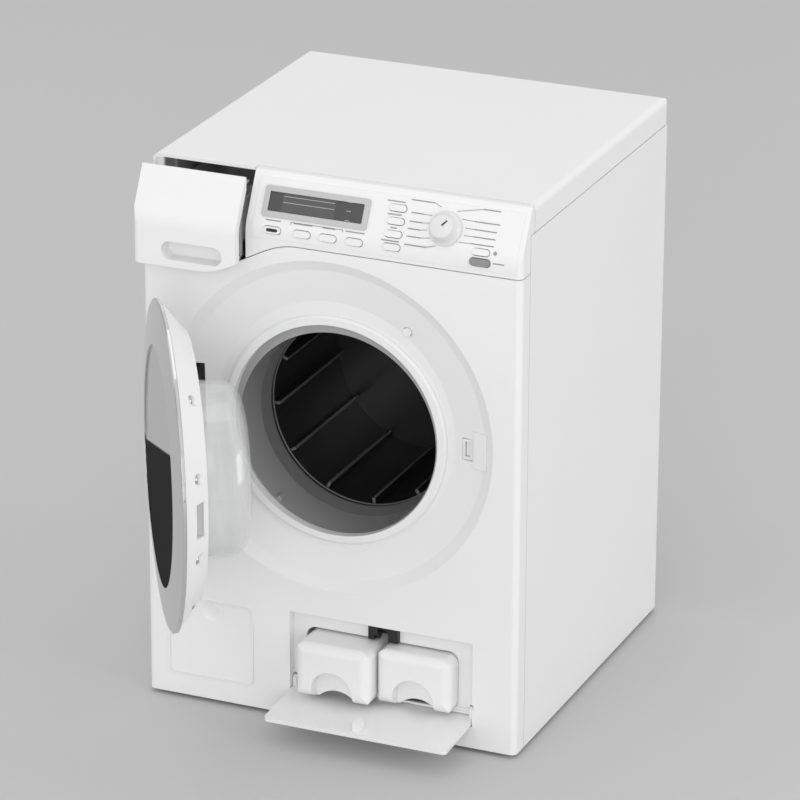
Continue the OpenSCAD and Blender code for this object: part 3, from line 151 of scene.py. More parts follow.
# Metal: long fine scratches along one axis, and smudges
def buildDrawnMetal():
    group, tree, link, given, out = newGroup("drawnMetal", [
        ("Color", "NodeSocketColor", (0.7, 0.7, 0.7, 1)), ("Roughness", "NodeSocketFloat", 0.2),
        ("Scratch", "NodeSocketFloat", 0.1), ("Stretch", "NodeSocketVector", (40.0, 900.0, 900.0)),
        ("Edge Radius", "NodeSocketFloat", 0.0003)],
        [("Color", "NodeSocketColor"), ("Roughness", "NodeSocketFloat"), ("Normal", "NodeSocketVector")])
    place = tree.new("ShaderNodeTexCoord")
    turn = tree.new("ShaderNodeMapping")
    link(place.outputs["Object"], turn.inputs["Vector"])
    link(given.outputs["Stretch"], turn.inputs["Scale"])
    fine = tree.new("ShaderNodeTexNoise")
    fine.inputs["Scale"].default_value, fine.inputs["Detail"].default_value = 1, 2
    link(turn.outputs["Vector"], fine.inputs["Vector"])
    smudge = tree.new("ShaderNodeTexNoise")
    smudge.inputs["Scale"].default_value, smudge.inputs["Detail"].default_value = 60, 4
    link(place.outputs["Object"], smudge.inputs["Vector"])
    both = mathNode(tree, "ADD")
    link(fine.outputs["Fac"], both.inputs[0])
    link(smudge.outputs["Fac"], both.inputs[1])
    centred = mathNode(tree, "SUBTRACT", 1.0)
    link(both.outputs[0], centred.inputs[0])
    step = mathNode(tree, "MULTIPLY")
    link(centred.outputs[0], step.inputs[0])
    link(given.outputs["Scratch"], step.inputs[1])
    rough = mathNode(tree, "ADD")
    link(given.outputs["Roughness"], rough.inputs[0])
    link(step.outputs[0], rough.inputs[1])
    edge = tree.new("ShaderNodeBevel")
    edge.samples = 4
    link(given.outputs["Edge Radius"], edge.inputs["Radius"])
    bump = tree.new("ShaderNodeBump")
    bump.inputs["Distance"].default_value = 0.00005
    link(given.outputs["Scratch"], bump.inputs["Strength"])
    link(fine.outputs["Fac"], bump.inputs["Height"])
    link(edge.outputs["Normal"], bump.inputs["Normal"])
    shade = tree.new("ShaderNodeHueSaturation")
    value = mathNode(tree, "ADD", 1.0)
    link(step.outputs[0], value.inputs[0])
    link(value.outputs[0], shade.inputs["Value"])
    link(given.outputs["Color"], shade.inputs["Color"])
    link(shade.outputs["Color"], out.inputs["Color"])
    link(rough.outputs[0], out.inputs["Roughness"])
    link(bump.outputs["Normal"], out.inputs["Normal"])
    return group


mouldedSkin = buildMouldedSkin()
drawnMetal = buildDrawnMetal()


def finish(name, group, settings, sockets=()):
    material = bpy.data.materials.new(name)
    material.use_nodes = True
    tree, link = material.node_tree.nodes, material.node_tree.links.new
    shader = tree["Principled BSDF"]
    skin = tree.new("ShaderNodeGroup")
    skin.node_tree = group
    for label, value in settings.items():
        skin.inputs[label].default_value = value
    link(skin.outputs["Color"], shader.inputs["Base Color"])
    link(skin.outputs["Roughness"], shader.inputs["Roughness"])
    link(skin.outputs["Normal"], shader.inputs["Normal"])
    for label, value in dict(sockets).items():
        shader.inputs[label].default_value = value
    return material


def plastic(name, tone, roughness, edge=0.3, grain=0.06, drift=0.02, coat=0.0, scale=1500.0):
    color = (*tone, 1) if isinstance(tone, tuple) else (tone, tone, tone, 1)
    sockets = {"Specular IOR Level": 0.5}
    if coat:
        sockets.update({"Coat Weight": coat, "Coat Roughness": 0.05})
    return finish(name, mouldedSkin, {"Color": color, "Roughness": roughness, "Edge Radius": edge * mm,
                                      "Grain Depth": grain, "Tone Drift": drift, "Grain Scale": scale}, sockets)


def metal(name, tone, roughness, scratch=0.06, stretch=(900.0, 40.0, 900.0), edge=0.2):
    color = (*tone, 1) if isinstance(tone, tuple) else (tone, tone, tone, 1)
    return finish(name, drawnMetal, {"Color": color, "Roughness": roughness, "Scratch": scratch,
                                     "Stretch": stretch, "Edge Radius": edge * mm}, {"Metallic": 1.0})


finishes = {
    "white_shell": plastic("whiteShell", 0.83, 0.34, edge=0.4, grain=0.05),
    "door_white": plastic("doorWhite", 0.83, 0.24, edge=0.35, grain=0.04),
    "key_white": plastic("keyWhite", 0.81, 0.30, edge=0.4),
    "fascia_film": plastic("fasciaFilm", 0.82, 0.26, edge=0.1, grain=0.02),
    "silver_trim": metal("silverTrim", 0.56, 0.38, scratch=0.04),
    "display_dark": plastic("displayDark", 0.06, 0.22, edge=0.1, grain=0.01, coat=0.25),
    "knob_silver": plastic("knobWhite", 0.72, 0.28, edge=0.5),
    "key_grey": plastic("keyGrey", 0.27, 0.34, edge=0.4),
    "chrome_rim": metal("chromeRim", 0.72, 0.07, scratch=0.03, edge=0.25),
    "window_dark": plastic("windowDark", 0.018, 0.045, edge=0.1, grain=0.0, drift=0.0, coat=1.0),
    "collar_grey": plastic("collarGrey", 0.37, 0.22, edge=0.4, grain=0.03, coat=0.5),
    "ring_grey": plastic("ringGrey", 0.19, 0.28, edge=0.4, grain=0.05, coat=0.3),
    "drum_dark": plastic("drumDark", 0.018, 0.3, edge=0.3, grain=0.02, coat=0.25),
    "catch_grey": plastic("catchGrey", 0.80, 0.35),
    "latch_black": plastic("latchBlack", 0.012, 0.35, edge=0.2),
    "steel": metal("screwSteel", 0.55, 0.28, scratch=0.12),
    "base_grey": plastic("baseGrey", 0.60, 0.45, edge=0.3, grain=0.2, scale=900.0),
    "foot_rubber": plastic("footRubber", 0.03, 0.75, edge=0.4, grain=0.4, scale=700.0),
    "inner_white": plastic("innerWhite", 0.68, 0.42, edge=0.3, grain=0.1),
    "pulley_grey": plastic("pulleyGrey", 0.10, 0.42),
    "belt_rubber": plastic("beltRubber", 0.012, 0.65, edge=0.2, grain=0.5, scale=1200.0),
    "bush_brass": metal("bushBrass", (0.70, 0.50, 0.20), 0.3, scratch=0.15),
    "motor_steel": metal("motorSteel", 0.52, 0.3, scratch=0.15),
    "board_green": plastic("boardGreen", (0.02, 0.13, 0.05), 0.35, edge=0.1),
    "cone_black": plastic("coneBlack", 0.02, 0.7, edge=0.2, grain=0.5, scale=900.0),
    "cable_red": plastic("cableRed", (0.42, 0.03, 0.02), 0.45, edge=0.2),
    "cell_sleeve": plastic("cellSleeve", (0.42, 0.27, 0.05), 0.25, edge=0.3),
    "contact_nickel": metal("contactNickel", 0.62, 0.2),
}

# Clear bowl: glass socket values stay plain on the shader
bowlLook = {"tint": (0.95, 0.955, 0.96, 1), "roughness": 0.02, "ior": 2.4, "clear": 0.3, "cover": 0.33}
clear = bpy.data.materials.new("bowlClear")
clear.use_nodes = True
glassShader = clear.node_tree.nodes["Principled BSDF"]
glassShader.inputs["Transmission Weight"].default_value = bowlLook["clear"]
glassShader.inputs["Metallic"].default_value = 0.0
glassShader.inputs["Alpha"].default_value = bowlLook["cover"]
glassShader.inputs["IOR"].default_value = bowlLook["ior"]
glassSkin = clear.node_tree.nodes.new("ShaderNodeGroup")
glassSkin.node_tree = mouldedSkin
for label, value in (("Color", bowlLook["tint"]), ("Roughness", bowlLook["roughness"]), ("Gloss Drift", 0.04),
                     ("Tone Drift", 0.01), ("Grain Depth", 0.0), ("Edge Radius", 0.0002)):
    glassSkin.inputs[label].default_value = value
for label in ("Roughness", "Normal"):
    clear.node_tree.links.new(glassSkin.outputs[label], glassShader.inputs[label])
clear.node_tree.links.new(glassSkin.outputs["Color"], glassShader.inputs["Base Color"])
finishes["bowl_clear"] = clear

slotOf = {part["node"]: part["material_slot"] for part in frame["record"]["subparts"]}
for name, piece in nodes.items():
    piece.data.materials.clear()
    piece.data.materials.append(finishes[slotOf[name]])
print("finishes on", len(nodes), "pieces")

inks = {
    "grey": plastic("inkGrey", 0.30, 0.5, edge=0.0, grain=0.0),
    "pale": plastic("inkPale", 0.50, 0.5, edge=0.0, grain=0.0),
    "black": plastic("inkBlack", 0.015, 0.4, edge=0.0, grain=0.0),
}


# Tools for new pieces
def meshPiece(bm, name, material, bodyName, smooth=False, covers=()):
    bmesh.ops.remove_doubles(bm, verts=bm.verts, dist=1e-7)
    bmesh.ops.recalc_face_normals(bm, faces=bm.faces)
    mesh = bpy.data.meshes.new(name)
    bm.to_mesh(mesh)
    bm.free()
    piece = bpy.data.objects.new(name, mesh)
    bpy.context.scene.collection.objects.link(piece)
    for entry in material if isinstance(material, list) else [material]:
        mesh.materials.append(entry)
    if smooth:
        mesh.polygons.foreach_set("use_smooth", [True] * len(mesh.polygons))
        mesh.set_sharp_from_angle(angle=math.radians(40))
    if covers:
        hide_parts(*covers)
    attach(piece, bodyName)
    return piece


def slopeFrame(x, s, out=0.0):  # x across, y up the slope, z out of it
    lean = body["lean"]
    axes = Matrix(((1, 0, 0), (0, math.sin(lean), -math.cos(lean)), (0, math.cos(lean), math.sin(lean))))
    return Matrix.Translation(onSlope(x, s, out)) @ axes.to_4x4()


def bendFrame(x, z, out=0.0):
    a = faceAngle(z)
    axes = Matrix(((1, 0, 0), (0, math.sin(a), -math.cos(a)), (0, math.cos(a), math.sin(a))))
    return Matrix.Translation(onBend(x, z, out)) @ axes.to_4x4()


def addBar(bm, placing, x0, y0, x1, y1, width, height):  # a flat stroke between two points
    a, b = Vector((x0, y0, 0)) * mm, Vector((x1, y1, 0)) * mm
    turn = Matrix.Rotation(math.atan2(b.y - a.y, b.x - a.x), 4, "Z")
    size = Matrix.Diagonal(((b - a).length, width * mm, height * mm, 1))
    bmesh.ops.create_cube(bm, size=1.0, matrix=placing @ Matrix.Translation((a + b) / 2 + Vector((0, 0, height * mm / 2))) @ turn @ size)


def addPill(bm, placing, width, height, thick, segments=12):
    verts = []
    for side in (1, -1):
        for i in range(segments + 1):
            a = math.pi * i / segments - math.pi / 2
            x = side * ((width - height) / 2 + math.cos(a) * height / 2)
            verts.append(bm.verts.new(placing @ (Vector((x, side * math.sin(a) * height / 2, 0)) * mm)))
    face = bm.faces.new(verts)
    grown = bmesh.ops.extrude_face_region(bm, geom=[face])
    top = [v for v in grown["geom"] if isinstance(v, bmesh.types.BMVert)]
    lift = placing.to_3x3() @ Vector((0, 0, thick * mm))
    bmesh.ops.translate(bm, verts=top, vec=lift)


# Printed marks on the panel: leader lines to the knob, short bars at the keys, all bare of words
marks = {
    "filmTop": 0.31, "thick": 0.05, "lineWidth": 0.34, "barWidth": 0.55,
    "rightEnds": [(77.6, 21.8, 69.5, 57.4, 19.3), (78.2, 16.0, 66.5, 60.4, 16.2), (77.4, 12.5, 67, 62.6, 12.6),
                  (77.4, 9.3, 67, 62.6, 9.2), (77.2, 6.2, 66.5, 60.8, 6.0)],
    "leftEnds": [(35.4, 21.6, 46.5, 49.9, 20.2), (36.4, 16.0, 42.5, 46.4, 15.9), (36.4, 12.1, 42.5, 45.6, 12.4),
                 (36.0, 8.8, 42, 45.2, 9.3), (36.2, 5.4, 43, 47.4, 6.0), (35.8, 1.7, 46, 50.6, 3.0)],
    "keyBars": [(-27.3, 239.4, 7.2), (-13.0, 239.4, 9.2), (-0.5, 239.4, 6.2), (12.1, 239.4, 9.2)],
    "sideBars": [(28.6, 19.9, 8.6), (28.9, 14.0, 6.6), (29.6, 8.1, 3.0), (29.0, 2.3, 8.4)],
}


def buildMarks():
    bm = bmesh.new()
    film = marks["filmTop"]
    for x0, s0, knee, x1, s1 in marks["rightEnds"] + marks["leftEnds"]:
        plane = slopeFrame(0, 0, film)
        addBar(bm, plane, x0, s0, knee, s0, marks["barWidth"], marks["thick"])
        addBar(bm, plane, knee, s0, x1, s1, marks["lineWidth"], marks["thick"])
    for x, z, width in marks["keyBars"]:
        plane = slopeFrame(x, (z - body["bendZ"]) / math.cos(body["lean"]), film)
        addBar(bm, plane, -width / 2, 0.9, width / 2, 0.9, marks["barWidth"], marks["thick"])
    for x, s, width in marks["sideBars"]:
        addBar(bm, slopeFrame(x, s, film), -width / 2, 0, width / 2, 0, marks["barWidth"], marks["thick"])
    addBar(bm, slopeFrame(-19, 3.9, film), 0, 0, 25, 0, marks["lineWidth"], marks["thick"])
    for x in (-19, 6):
        addBar(bm, slopeFrame(x, 3.4, film), 0, 0, 0.35, 0, 1.1, marks["thick"])
    ring = bmesh.ops.create_circle(bm, segments=20, radius=0.9 * mm, cap_ends=True, matrix=slopeFrame(78.4, 3.4, film + 0.03))
    addBar(bm, bendFrame(80.6, 235.9, film), -2.6, 0, 2.6, 0, marks["barWidth"], marks["thick"])
    return meshPiece(bm, "panelMarks", inks["grey"], "root")


buildMarks()

# Power key's oval mark
bm = bmesh.new()
addPill(bm, bendFrame(-27.3, 236.2, 1.0), 5.4, 1.5, 0.05)
meshPiece(bm, "powerMark", inks["black"], "key_power")

# Display: a paler field with bare lines behind the window's face
display = {"x": -8.25, "s": 12.0, "top": 0.5, "field": (-13.5, -3.3, 25.6, 8.4)}


def buildDisplay():
    bm = bmesh.new()
    plane = slopeFrame(display["x"], display["s"], display["top"])
    addBar(bm, plane, -16.5, 0.2, 9.0, 0.2, 8.6, 0.02)
    meshPiece(bm, "displayField", plastic("displayField", 0.085, 0.22, edge=0.0, grain=0.0, coat=0.2), "root")
    bm = bmesh.new()
    plane = slopeFrame(display["x"], display["s"], display["top"] + 0.02)
    for y in (2.9, 0.2):
        addBar(bm, plane, -16.0, y, 8.6, y, 0.22, 0.02)
    for y in (4.4, 0.4, -3.8):
        addBar(bm, plane, 14.4, y, 16.6, y, 0.28, 0.02)
    meshPiece(bm, "displayLines", inks["pale"], "root")


buildDisplay()
print("panel marks and display done")

# Programme knob: soft skirt, shallow grips, flat cap with a pointer
knob = {"x": 53.7, "s": 10.9, "foot": 7.7, "top": 5.0, "height": 6.7, "grips": 40, "gripDepth": 0.12, "base": 0.6}


def buildKnob():
    bm = bmesh.new()
    profile = [(0.0, 0.0), (knob["foot"] - 0.3, 0.0), (knob["foot"], 0.35), (knob["foot"] - 0.1, 0.8),
               (6.6, 1.5), (6.2, 2.0), (5.75, 4.4), (knob["top"] + 0.45, 6.0), (knob["top"] + 0.1, 6.5),
               (knob["top"] - 0.5, knob["height"]), (1.6, knob["height"] - 0.1), (0.0, knob["height"] - 0.1)]
    line = [bm.verts.new((r * mm, 0, h * mm)) for r, h in profile]
    edges = [bm.edges.new(pair) for pair in zip(line, line[1:])]
    bmesh.ops.spin(bm, geom=line + edges, cent=(0, 0, 0), axis=(0, 0, 1), angle=2 * math.pi, steps=160, use_merge=True)
    bmesh.ops.remove_doubles(bm, verts=bm.verts, dist=1e-7)
    for v in bm.verts:  # shallow grips round the cone
        r, h = math.hypot(v.co.x, v.co.y) / mm, v.co.z / mm
        if 1.6 < h < 6.2 and r > 1:
            wave = math.cos(knob["grips"] * math.atan2(v.co.y, v.co.x))
            grow = 1 + knob["gripDepth"] * (wave - 1) / 2 / r
            v.co.x, v.co.y = v.co.x * grow, v.co.y * grow
    shaft = bmesh.ops.create_cone(bm, cap_ends=True, segments=48, radius1=3.0 * mm, radius2=3.0 * mm, depth=6.5 * mm,
                                  matrix=Matrix.Translation((0, 0, -3.35 * mm)))
    bmesh.ops.transform(bm, matrix=slopeFrame(knob["x"], knob["s"], knob["base"]), verts=bm.verts)
    meshPiece(bm, "programmeKnob", finishes["knob_silver"], "knob", smooth=True, covers=["program_knob"])
    bm = bmesh.new()
    addBar(bm, slopeFrame(knob["x"], knob["s"], knob["base"] + knob["height"] - 0.1), 0.4, 0.5, 2.6, 2.9, 0.75, 0.08)
    meshPiece(bm, "knobPointer", inks["black"], "knob")


buildKnob()

# Screws: domed head with a cross recess
screwHeads = {"door_screws": ("door", 2.2, 1.5, "door"), "rear_screws": ("root", 2.8, 1.4, "rear")}


def addScrewHead(bm, placing, radius, height):
    made = bmesh.ops.create_cone(bm, cap_ends=True, segments=32, radius1=radius * mm, radius2=radius * 0.72 * mm,
                                 depth=height * mm, matrix=placing @ Matrix.Translation((0, 0, height * mm / 2)))
    return made


def crossHead(name, bodyName, heads, radius, height, covers, shank, shankR):
    bm = bmesh.new()
    for placing in heads:
        core = bmesh.new()
        profile = [(0, height - 0.55), (0.42, height - 0.5), (radius * 0.3, height - 0.08), (radius * 0.72, height - 0.12),
                   (radius * 0.93, height * 0.55), (radius, height * 0.2), (radius, 0), (shankR, 0), (shankR, -shank), (0, -shank)]
        line = [core.verts.new((r * mm, 0, h * mm)) for r, h in profile]
        edges = [core.edges.new(pair) for pair in zip(line, line[1:])]
        bmesh.ops.spin(core, geom=line + edges, cent=(0, 0, 0), axis=(0, 0, 1), angle=2 * math.pi, steps=32, use_merge=True)
        bmesh.ops.remove_doubles(core, verts=core.verts, dist=1e-7)
        for v in core.verts:  # the recess is deep along two crossed arms and shallow between
            r, h = math.hypot(v.co.x, v.co.y) / mm, v.co.z / mm
            if h > height - 0.3 and 0.1 < r < radius * 0.5:
                arm = abs(math.cos(2 * math.atan2(v.co.y, v.co.x))) > 0.8
                v.co.z -= 0.45 * mm if arm else 0
        bmesh.ops.transform(core, matrix=placing, verts=core.verts)
        tmp = bpy.data.meshes.new("screwCore")
        core.to_mesh(tmp)
        core.free()
        bm.from_mesh(tmp)
        bpy.data.meshes.remove(tmp)
    return meshPiece(bm, name, finishes["steel"], bodyName, smooth=True, covers=covers)


def backwardFrame(x, y, z):  # z axis pointing to the back
    return Matrix.Translation(at(x, y, z)) @ Matrix.Rotation(-math.pi / 2, 4, "X")


doorHinge = {"x": -79.7, "y": 6.34, "open": math.radians(57.35)}


def doorFrame(x, y, z):
    pin = at(doorHinge["x"], doorHinge["y"], 0)
    swing = Matrix.Translation(pin) @ Matrix.Rotation(-doorHinge["open"], 4, "Z") @ Matrix.Translation(-pin)
    return swing @ backwardFrame(x, y, z)


doorScrews = {"centreZ": 146.0, "ringR": 64.7, "seat": -2.0, "angles": [47, 16.5, -16.5, -47, 145, 215]}
crossHead("doorScrewHeads", "door",
          [doorFrame(doorScrews["ringR"] * math.cos(math.radians(a)), doorScrews["seat"],
                     doorScrews["centreZ"] + doorScrews["ringR"] * math.sin(math.radians(a))) for a in doorScrews["angles"]],
          2.2, 1.5, ["door_screws"], 4.8, 1.1)
crossHead("rearScrewHeads", "root", [backwardFrame(x, 181.4, z) for x in (-82, 82) for z in (14, 125, 234)],
          2.8, 1.4, ["rear_screws"], 8.0, 1.15)
print("knob and screws done")

# Bowl: one clear moulding with round corners
bowl = {"radius": 40.0, "draft": 1.4, "seat": 2.3, "end": 27.0, "wall": 1.5, "flange": 46.8, "corner": 8.5, "root": 1.2, "centreZ": 143.0}


def doorAxis(z):  # spin axis of the door, its z pointing to the back while the door is shut
    pin = at(doorHinge["x"], doorHinge["y"], 0)
    swing = Matrix.Translation(pin) @ Matrix.Rotation(-doorHinge["open"], 4, "Z") @ Matrix.Translation(-pin)
    return swing @ backwardFrame(0, 0, z)


def buildBowl():
    bm = bmesh.new()
    profile = [(bowl["flange"], bowl["seat"]), (bowl["radius"], bowl["seat"]), (bowl["radius"] - bowl["draft"], bowl["end"]),
               (0.0, bowl["end"])]
    line = [bm.verts.new((r * mm, 0, y * mm)) for r, y in profile]
    edges = [bm.edges.new(pair) for pair in zip(line, line[1:])]
    bmesh.ops.spin(bm, geom=line + edges, cent=(0, 0, 0), axis=(0, 0, 1), angle=2 * math.pi, steps=128, use_merge=True)
    bmesh.ops.remove_doubles(bm, verts=bm.verts, dist=1e-7)
    for r, y, radius, steps in ((bowl["radius"], bowl["seat"], bowl["root"], 4),
                                (bowl["radius"] - bowl["draft"], bowl["end"], bowl["corner"], 14)):
        ringEdges = [e for e in bm.edges if all(abs(v.co.z - y * mm) < 1e-6 and abs(v.co.xy.length - r * mm) < 1e-5 for v in e.verts)]
        bmesh.ops.bevel(bm, geom=ringEdges, offset=radius * mm, offset_type="OFFSET", segments=steps, profile=0.5,
                        affect="EDGES", clamp_overlap=True, material=-1)
    bmesh.ops.recalc_face_normals(bm, faces=bm.faces)
    bmesh.ops.solidify(bm, geom=bm.faces[:], thickness=bowl["wall"] * mm)
    bmesh.ops.transform(bm, matrix=doorAxis(bowl["centreZ"]), verts=bm.verts)
    return meshPiece(bm, "clearBowl", finishes["bowl_clear"], "door", smooth=True, covers=["door_bowl"])


buildBowl()

# White backing behind the window, seen through the bowl
backing = {"r": 52.4, "front": -8.85, "thick": 0.6, "padR": 35.0, "pad": 0.5, "soft": 0.2, "centreZ": 146.0}


def buildBacking():
    bm = bmesh.new()
    r, front, rear = backing["r"], backing["front"], backing["front"] + backing["thick"]
    soft, padR, pad = backing["soft"], backing["padR"], rear + backing["pad"]
    outline = [(0, front), (r, front), (r, rear - soft), (r - soft, rear), (padR + soft, rear), (padR, rear + soft),
               (padR, pad - soft), (padR - soft, pad), (0, pad)]
    line = [bm.verts.new((x * mm, 0, y * mm)) for x, y in outline]
    edges = [bm.edges.new(pair) for pair in zip(line, line[1:])]
    bmesh.ops.spin(bm, geom=line + edges, cent=(0, 0, 0), axis=(0, 0, 1), angle=2 * math.pi, steps=96, use_merge=True)
    bmesh.ops.transform(bm, matrix=doorAxis(backing["centreZ"]), verts=bm.verts)
    meshPiece(bm, "windowBacking", finishes["door_white"], "door", smooth=True)


buildBacking()

# Window: glossy above its middle, dull and dark below, split along a slanted line; this split is a painted reflection,
# with the bright upper half and dark lower half of a reflection made into the surface
window = {"faceY": -10.4, "split": 8.5, "slant": 0.316, "blur": 0.8, "tone": 0.01, "gloss": 0.045, "dull": 0.85}


def finishWindow():
    material = bpy.data.materials.new("windowPaintedReflection")
    material.use_nodes = True
    tree, link = material.node_tree.nodes, material.node_tree.links.new
    shader = tree["Principled BSDF"]
    place, turn, split = tree.new("ShaderNodeTexCoord"), tree.new("ShaderNodeMapping"), tree.new("ShaderNodeSeparateXYZ")
    centre = doorFrame(0, window["faceY"], 146.0).translation
    back = Matrix.Rotation(doorHinge["open"], 3, "Z")
    turn.inputs["Rotation"].default_value = (0, 0, doorHinge["open"])
    turn.inputs["Location"].default_value = -(back @ centre)
    link(place.outputs["Object"], turn.inputs["Vector"])
    link(turn.outputs["Vector"], split.inputs["Vector"])
    wobble = tree.new("ShaderNodeTexNoise")
    wobble.inputs["Scale"].default_value = 120
    link(turn.outputs["Vector"], wobble.inputs["Vector"])
    rise, height = mathNode(tree, "MULTIPLY", -window["slant"]), mathNode(tree, "ADD")
    link(split.outputs["X"], rise.inputs[0])
    link(rise.outputs[0], height.inputs[0])
    link(split.outputs["Z"], height.inputs[1])
    tones = {}
    # Painted reflection: roughness and coat switch across the slanted line, glossy above it and dull below
    for label, low, high in (("Roughness", window["dull"], window["gloss"]), ("Coat Weight", 0.0, 1.0)):
        span = tree.new("ShaderNodeMapRange")
        span.interpolation_type = "SMOOTHSTEP"
        span.inputs["From Min"].default_value = (window["split"] - window["blur"]) * mm
        span.inputs["From Max"].default_value = (window["split"] + window["blur"]) * mm
        span.inputs["To Min"].default_value, span.inputs["To Max"].default_value = low, high
        link(height.outputs[0], span.inputs["Value"])
        tones[label] = span.outputs["Result"]
    link(tones["Coat Weight"], shader.inputs["Coat Weight"])
    drift = mathNode(tree, "MULTIPLY", 0.02)
    link(wobble.outputs["Fac"], drift.inputs[0])
    rough = mathNode(tree, "ADD")
    link(drift.outputs[0], rough.inputs[0])
    link(tones["Roughness"], rough.inputs[1])
    link(rough.outputs[0], shader.inputs["Roughness"])
    tint = tree.new("ShaderNodeMixRGB")
    tint.inputs["Color1"].default_value = (window["tone"], window["tone"], window["tone"], 1)
    tint.inputs["Color2"].default_value = (window["tone"] * 1.5, window["tone"] * 1.5, window["tone"] * 1.5, 1)
    link(wobble.outputs["Fac"], tint.inputs["Fac"])
    link(tint.outputs["Color"], shader.inputs["Base Color"])
    shader.inputs["Specular IOR Level"].default_value = 0.1
    shader.inputs["Coat Roughness"].default_value = 0.03
    shader.inputs["Coat IOR"].default_value = 1.9
    nodes["door_window"].data.materials[0] = material


finishWindow()

# Pale pocket behind the latch slot in the door's edge
pocket = {"x": (60.2, 61.9), "y": (-2.3, 2.2), "z": (137.4, 154.6), "wall": 0.5}


def buildPocket():
    bm = bmesh.new()
    (x0, x1), (y0, y1), (z0, z1) = pocket["x"], pocket["y"], pocket["z"]
    size = Matrix.Diagonal(((x1 - x0) * mm, (z1 - z0) * mm, (y1 - y0) * mm, 1))
    bmesh.ops.create_cube(bm, size=1.0, matrix=size)
    openFace = max(bm.faces, key=lambda f: f.calc_center_median().x)
    bmesh.ops.delete(bm, geom=[openFace], context="FACES_ONLY")
    bmesh.ops.recalc_face_normals(bm, faces=bm.faces)
    bmesh.ops.solidify(bm, geom=bm.faces[:], thickness=pocket["wall"] * mm)
    centre = Matrix.Translation(Vector(((x0 + x1) / 2, 0, (y0 + y1) / 2)) * mm)
    bmesh.ops.transform(bm, matrix=doorAxis((z0 + z1) / 2) @ centre, verts=bm.verts)
    meshPiece(bm, "latchPocket", finishes["inner_white"], "door")


buildPocket()

# Drum: a paler lip at its mouth, and beads on the ribs' inner edges and front ends; their paler plastic is painted
# highlight, where the drum's mouth and rib edges catch the light
drum = {"z": 140.5, "lipR": (45.5, 47.3), "lipY": (39.9, 40.7), "lipRound": 0.25, "ribs": 12, "first": 5.0,
        "beadR": (43.1, 43.55), "beadWide": 1.5, "beadY": (41.5, 112.0), "postR": (43.1, 47.3), "postY": (41.3, 41.95), "round": 0.18}
# Paler than the drum's own plastic: painted highlight for the lip and the rib edges
drumPaintedHighlight = plastic("drumPaintedHighlight", 0.12, 0.24, edge=0.2, grain=0.02, coat=0.6)


def addBlock(bm, placing, x, y, z, soft):  # a block with softened edges, from ranges along its own axes
    made = bmesh.new()
    size = Matrix.Diagonal(((x[1] - x[0]) * mm, (y[1] - y[0]) * mm, (z[1] - z[0]) * mm, 1))
    centre = Vector((x[0] + x[1], y[0] + y[1], z[0] + z[1])) * mm / 2
    bmesh.ops.create_cube(made, size=1.0, matrix=Matrix.Translation(centre) @ size)
    bmesh.ops.bevel(made, geom=made.edges[:], offset=soft * mm, offset_type="OFFSET", segments=2, profile=0.5,
                    affect="EDGES", clamp_overlap=True, material=-1)
    bmesh.ops.transform(made, matrix=placing, verts=made.verts)
    tmp = bpy.data.meshes.new("block")
    made.to_mesh(tmp)
    made.free()
    bm.from_mesh(tmp)
    bpy.data.meshes.remove(tmp)


def buildDrumPaintedHighlights():
    bm = bmesh.new()
    (r0, r1), (y0, y1), soft = drum["lipR"], drum["lipY"], drum["lipRound"]
    outline = [(r1, y1), (r0, y1), (r0, y0 + soft), (r0 + soft, y0), (r1 - soft, y0), (r1, y0 + soft), (r1, y1)]
    line = [bm.verts.new((r * mm, 0, y * mm)) for r, y in outline]
    edges = [bm.edges.new(pair) for pair in zip(line, line[1:])]
    bmesh.ops.spin(bm, geom=line + edges, cent=(0, 0, 0), axis=(0, 0, 1), angle=2 * math.pi, steps=144, use_merge=True)
    bmesh.ops.transform(bm, matrix=backwardFrame(0, 0, drum["z"]), verts=bm.verts)
    meshPiece(bm, "drumLipHighlight", drumPaintedHighlight, "drum", smooth=True)
    bm = bmesh.new()
    half = drum["beadWide"] / 2
    for k in range(drum["ribs"]):
        turn = math.radians(drum["first"] + 360 / drum["ribs"] * k)
        placing = backwardFrame(0, 0, drum["z"]) @ Matrix.Rotation(-turn, 4, "Z")
        addBlock(bm, placing, drum["beadR"], (-half, half), drum["beadY"], drum["round"])
        addBlock(bm, placing, drum["postR"], (-half, half), drum["postY"], drum["round"])
    meshPiece(bm, "drumRibHighlights", drumPaintedHighlight, "drum", smooth=True)


buildDrumPaintedHighlights()

# Cover over the front of the drawer's tray, seen between the lid and the drawer
trayCover = {"x": (-83.6, -43.9), "y": (3.7, 12.4), "z": (252.3, 253.7), "soft": 0.4, "rib": 0.7}


def buildTrayCover():
    bm = bmesh.new()
    (x0, x1), (y0, y1), (z0, z1) = trayCover["x"], trayCover["y"], trayCover["z"]
    addBlock(bm, Matrix.Translation(at(0, 0, 0)), (x0, x1), (y0, y1), (z0, z1), trayCover["soft"])
    addBlock(bm, Matrix.Translation(at(0, 0, 0)), (x0 + 1, x1 - 1), (y1 - 1.6, y1 - 0.4), (z0 - trayCover["rib"], z0 + 0.2), 0.1)
    meshPiece(bm, "trayCover", finishes["inner_white"], "drawer", smooth=True)


buildTrayCover()

# Tongue inside the catch
tongue = {"x": 64.8, "z": 144.8, "width": 2.4, "height": 7.0, "front": 6.5, "back": 9.9, "round": 0.4}


def buildTongue():
    bm = bmesh.new()
    depth = tongue["back"] - tongue["front"]
    bmesh.ops.create_cube(bm, size=1.0, matrix=Matrix.Diagonal((tongue["width"] * mm, depth * mm, tongue["height"] * mm, 1)))
    bmesh.ops.bevel(bm, geom=bm.edges[:], offset=tongue["round"] * mm, offset_type="OFFSET", segments=3, profile=0.5,
                    affect="EDGES", clamp_overlap=True, material=-1)
    bmesh.ops.translate(bm, verts=bm.verts, vec=at(tongue["x"], (tongue["front"] + tongue["back"]) / 2, tongue["z"]))
    meshPiece(bm, "catchTongue", finishes["catch_grey"], "root", smooth=True)


buildTongue()
print("bowl and latch pocket done")

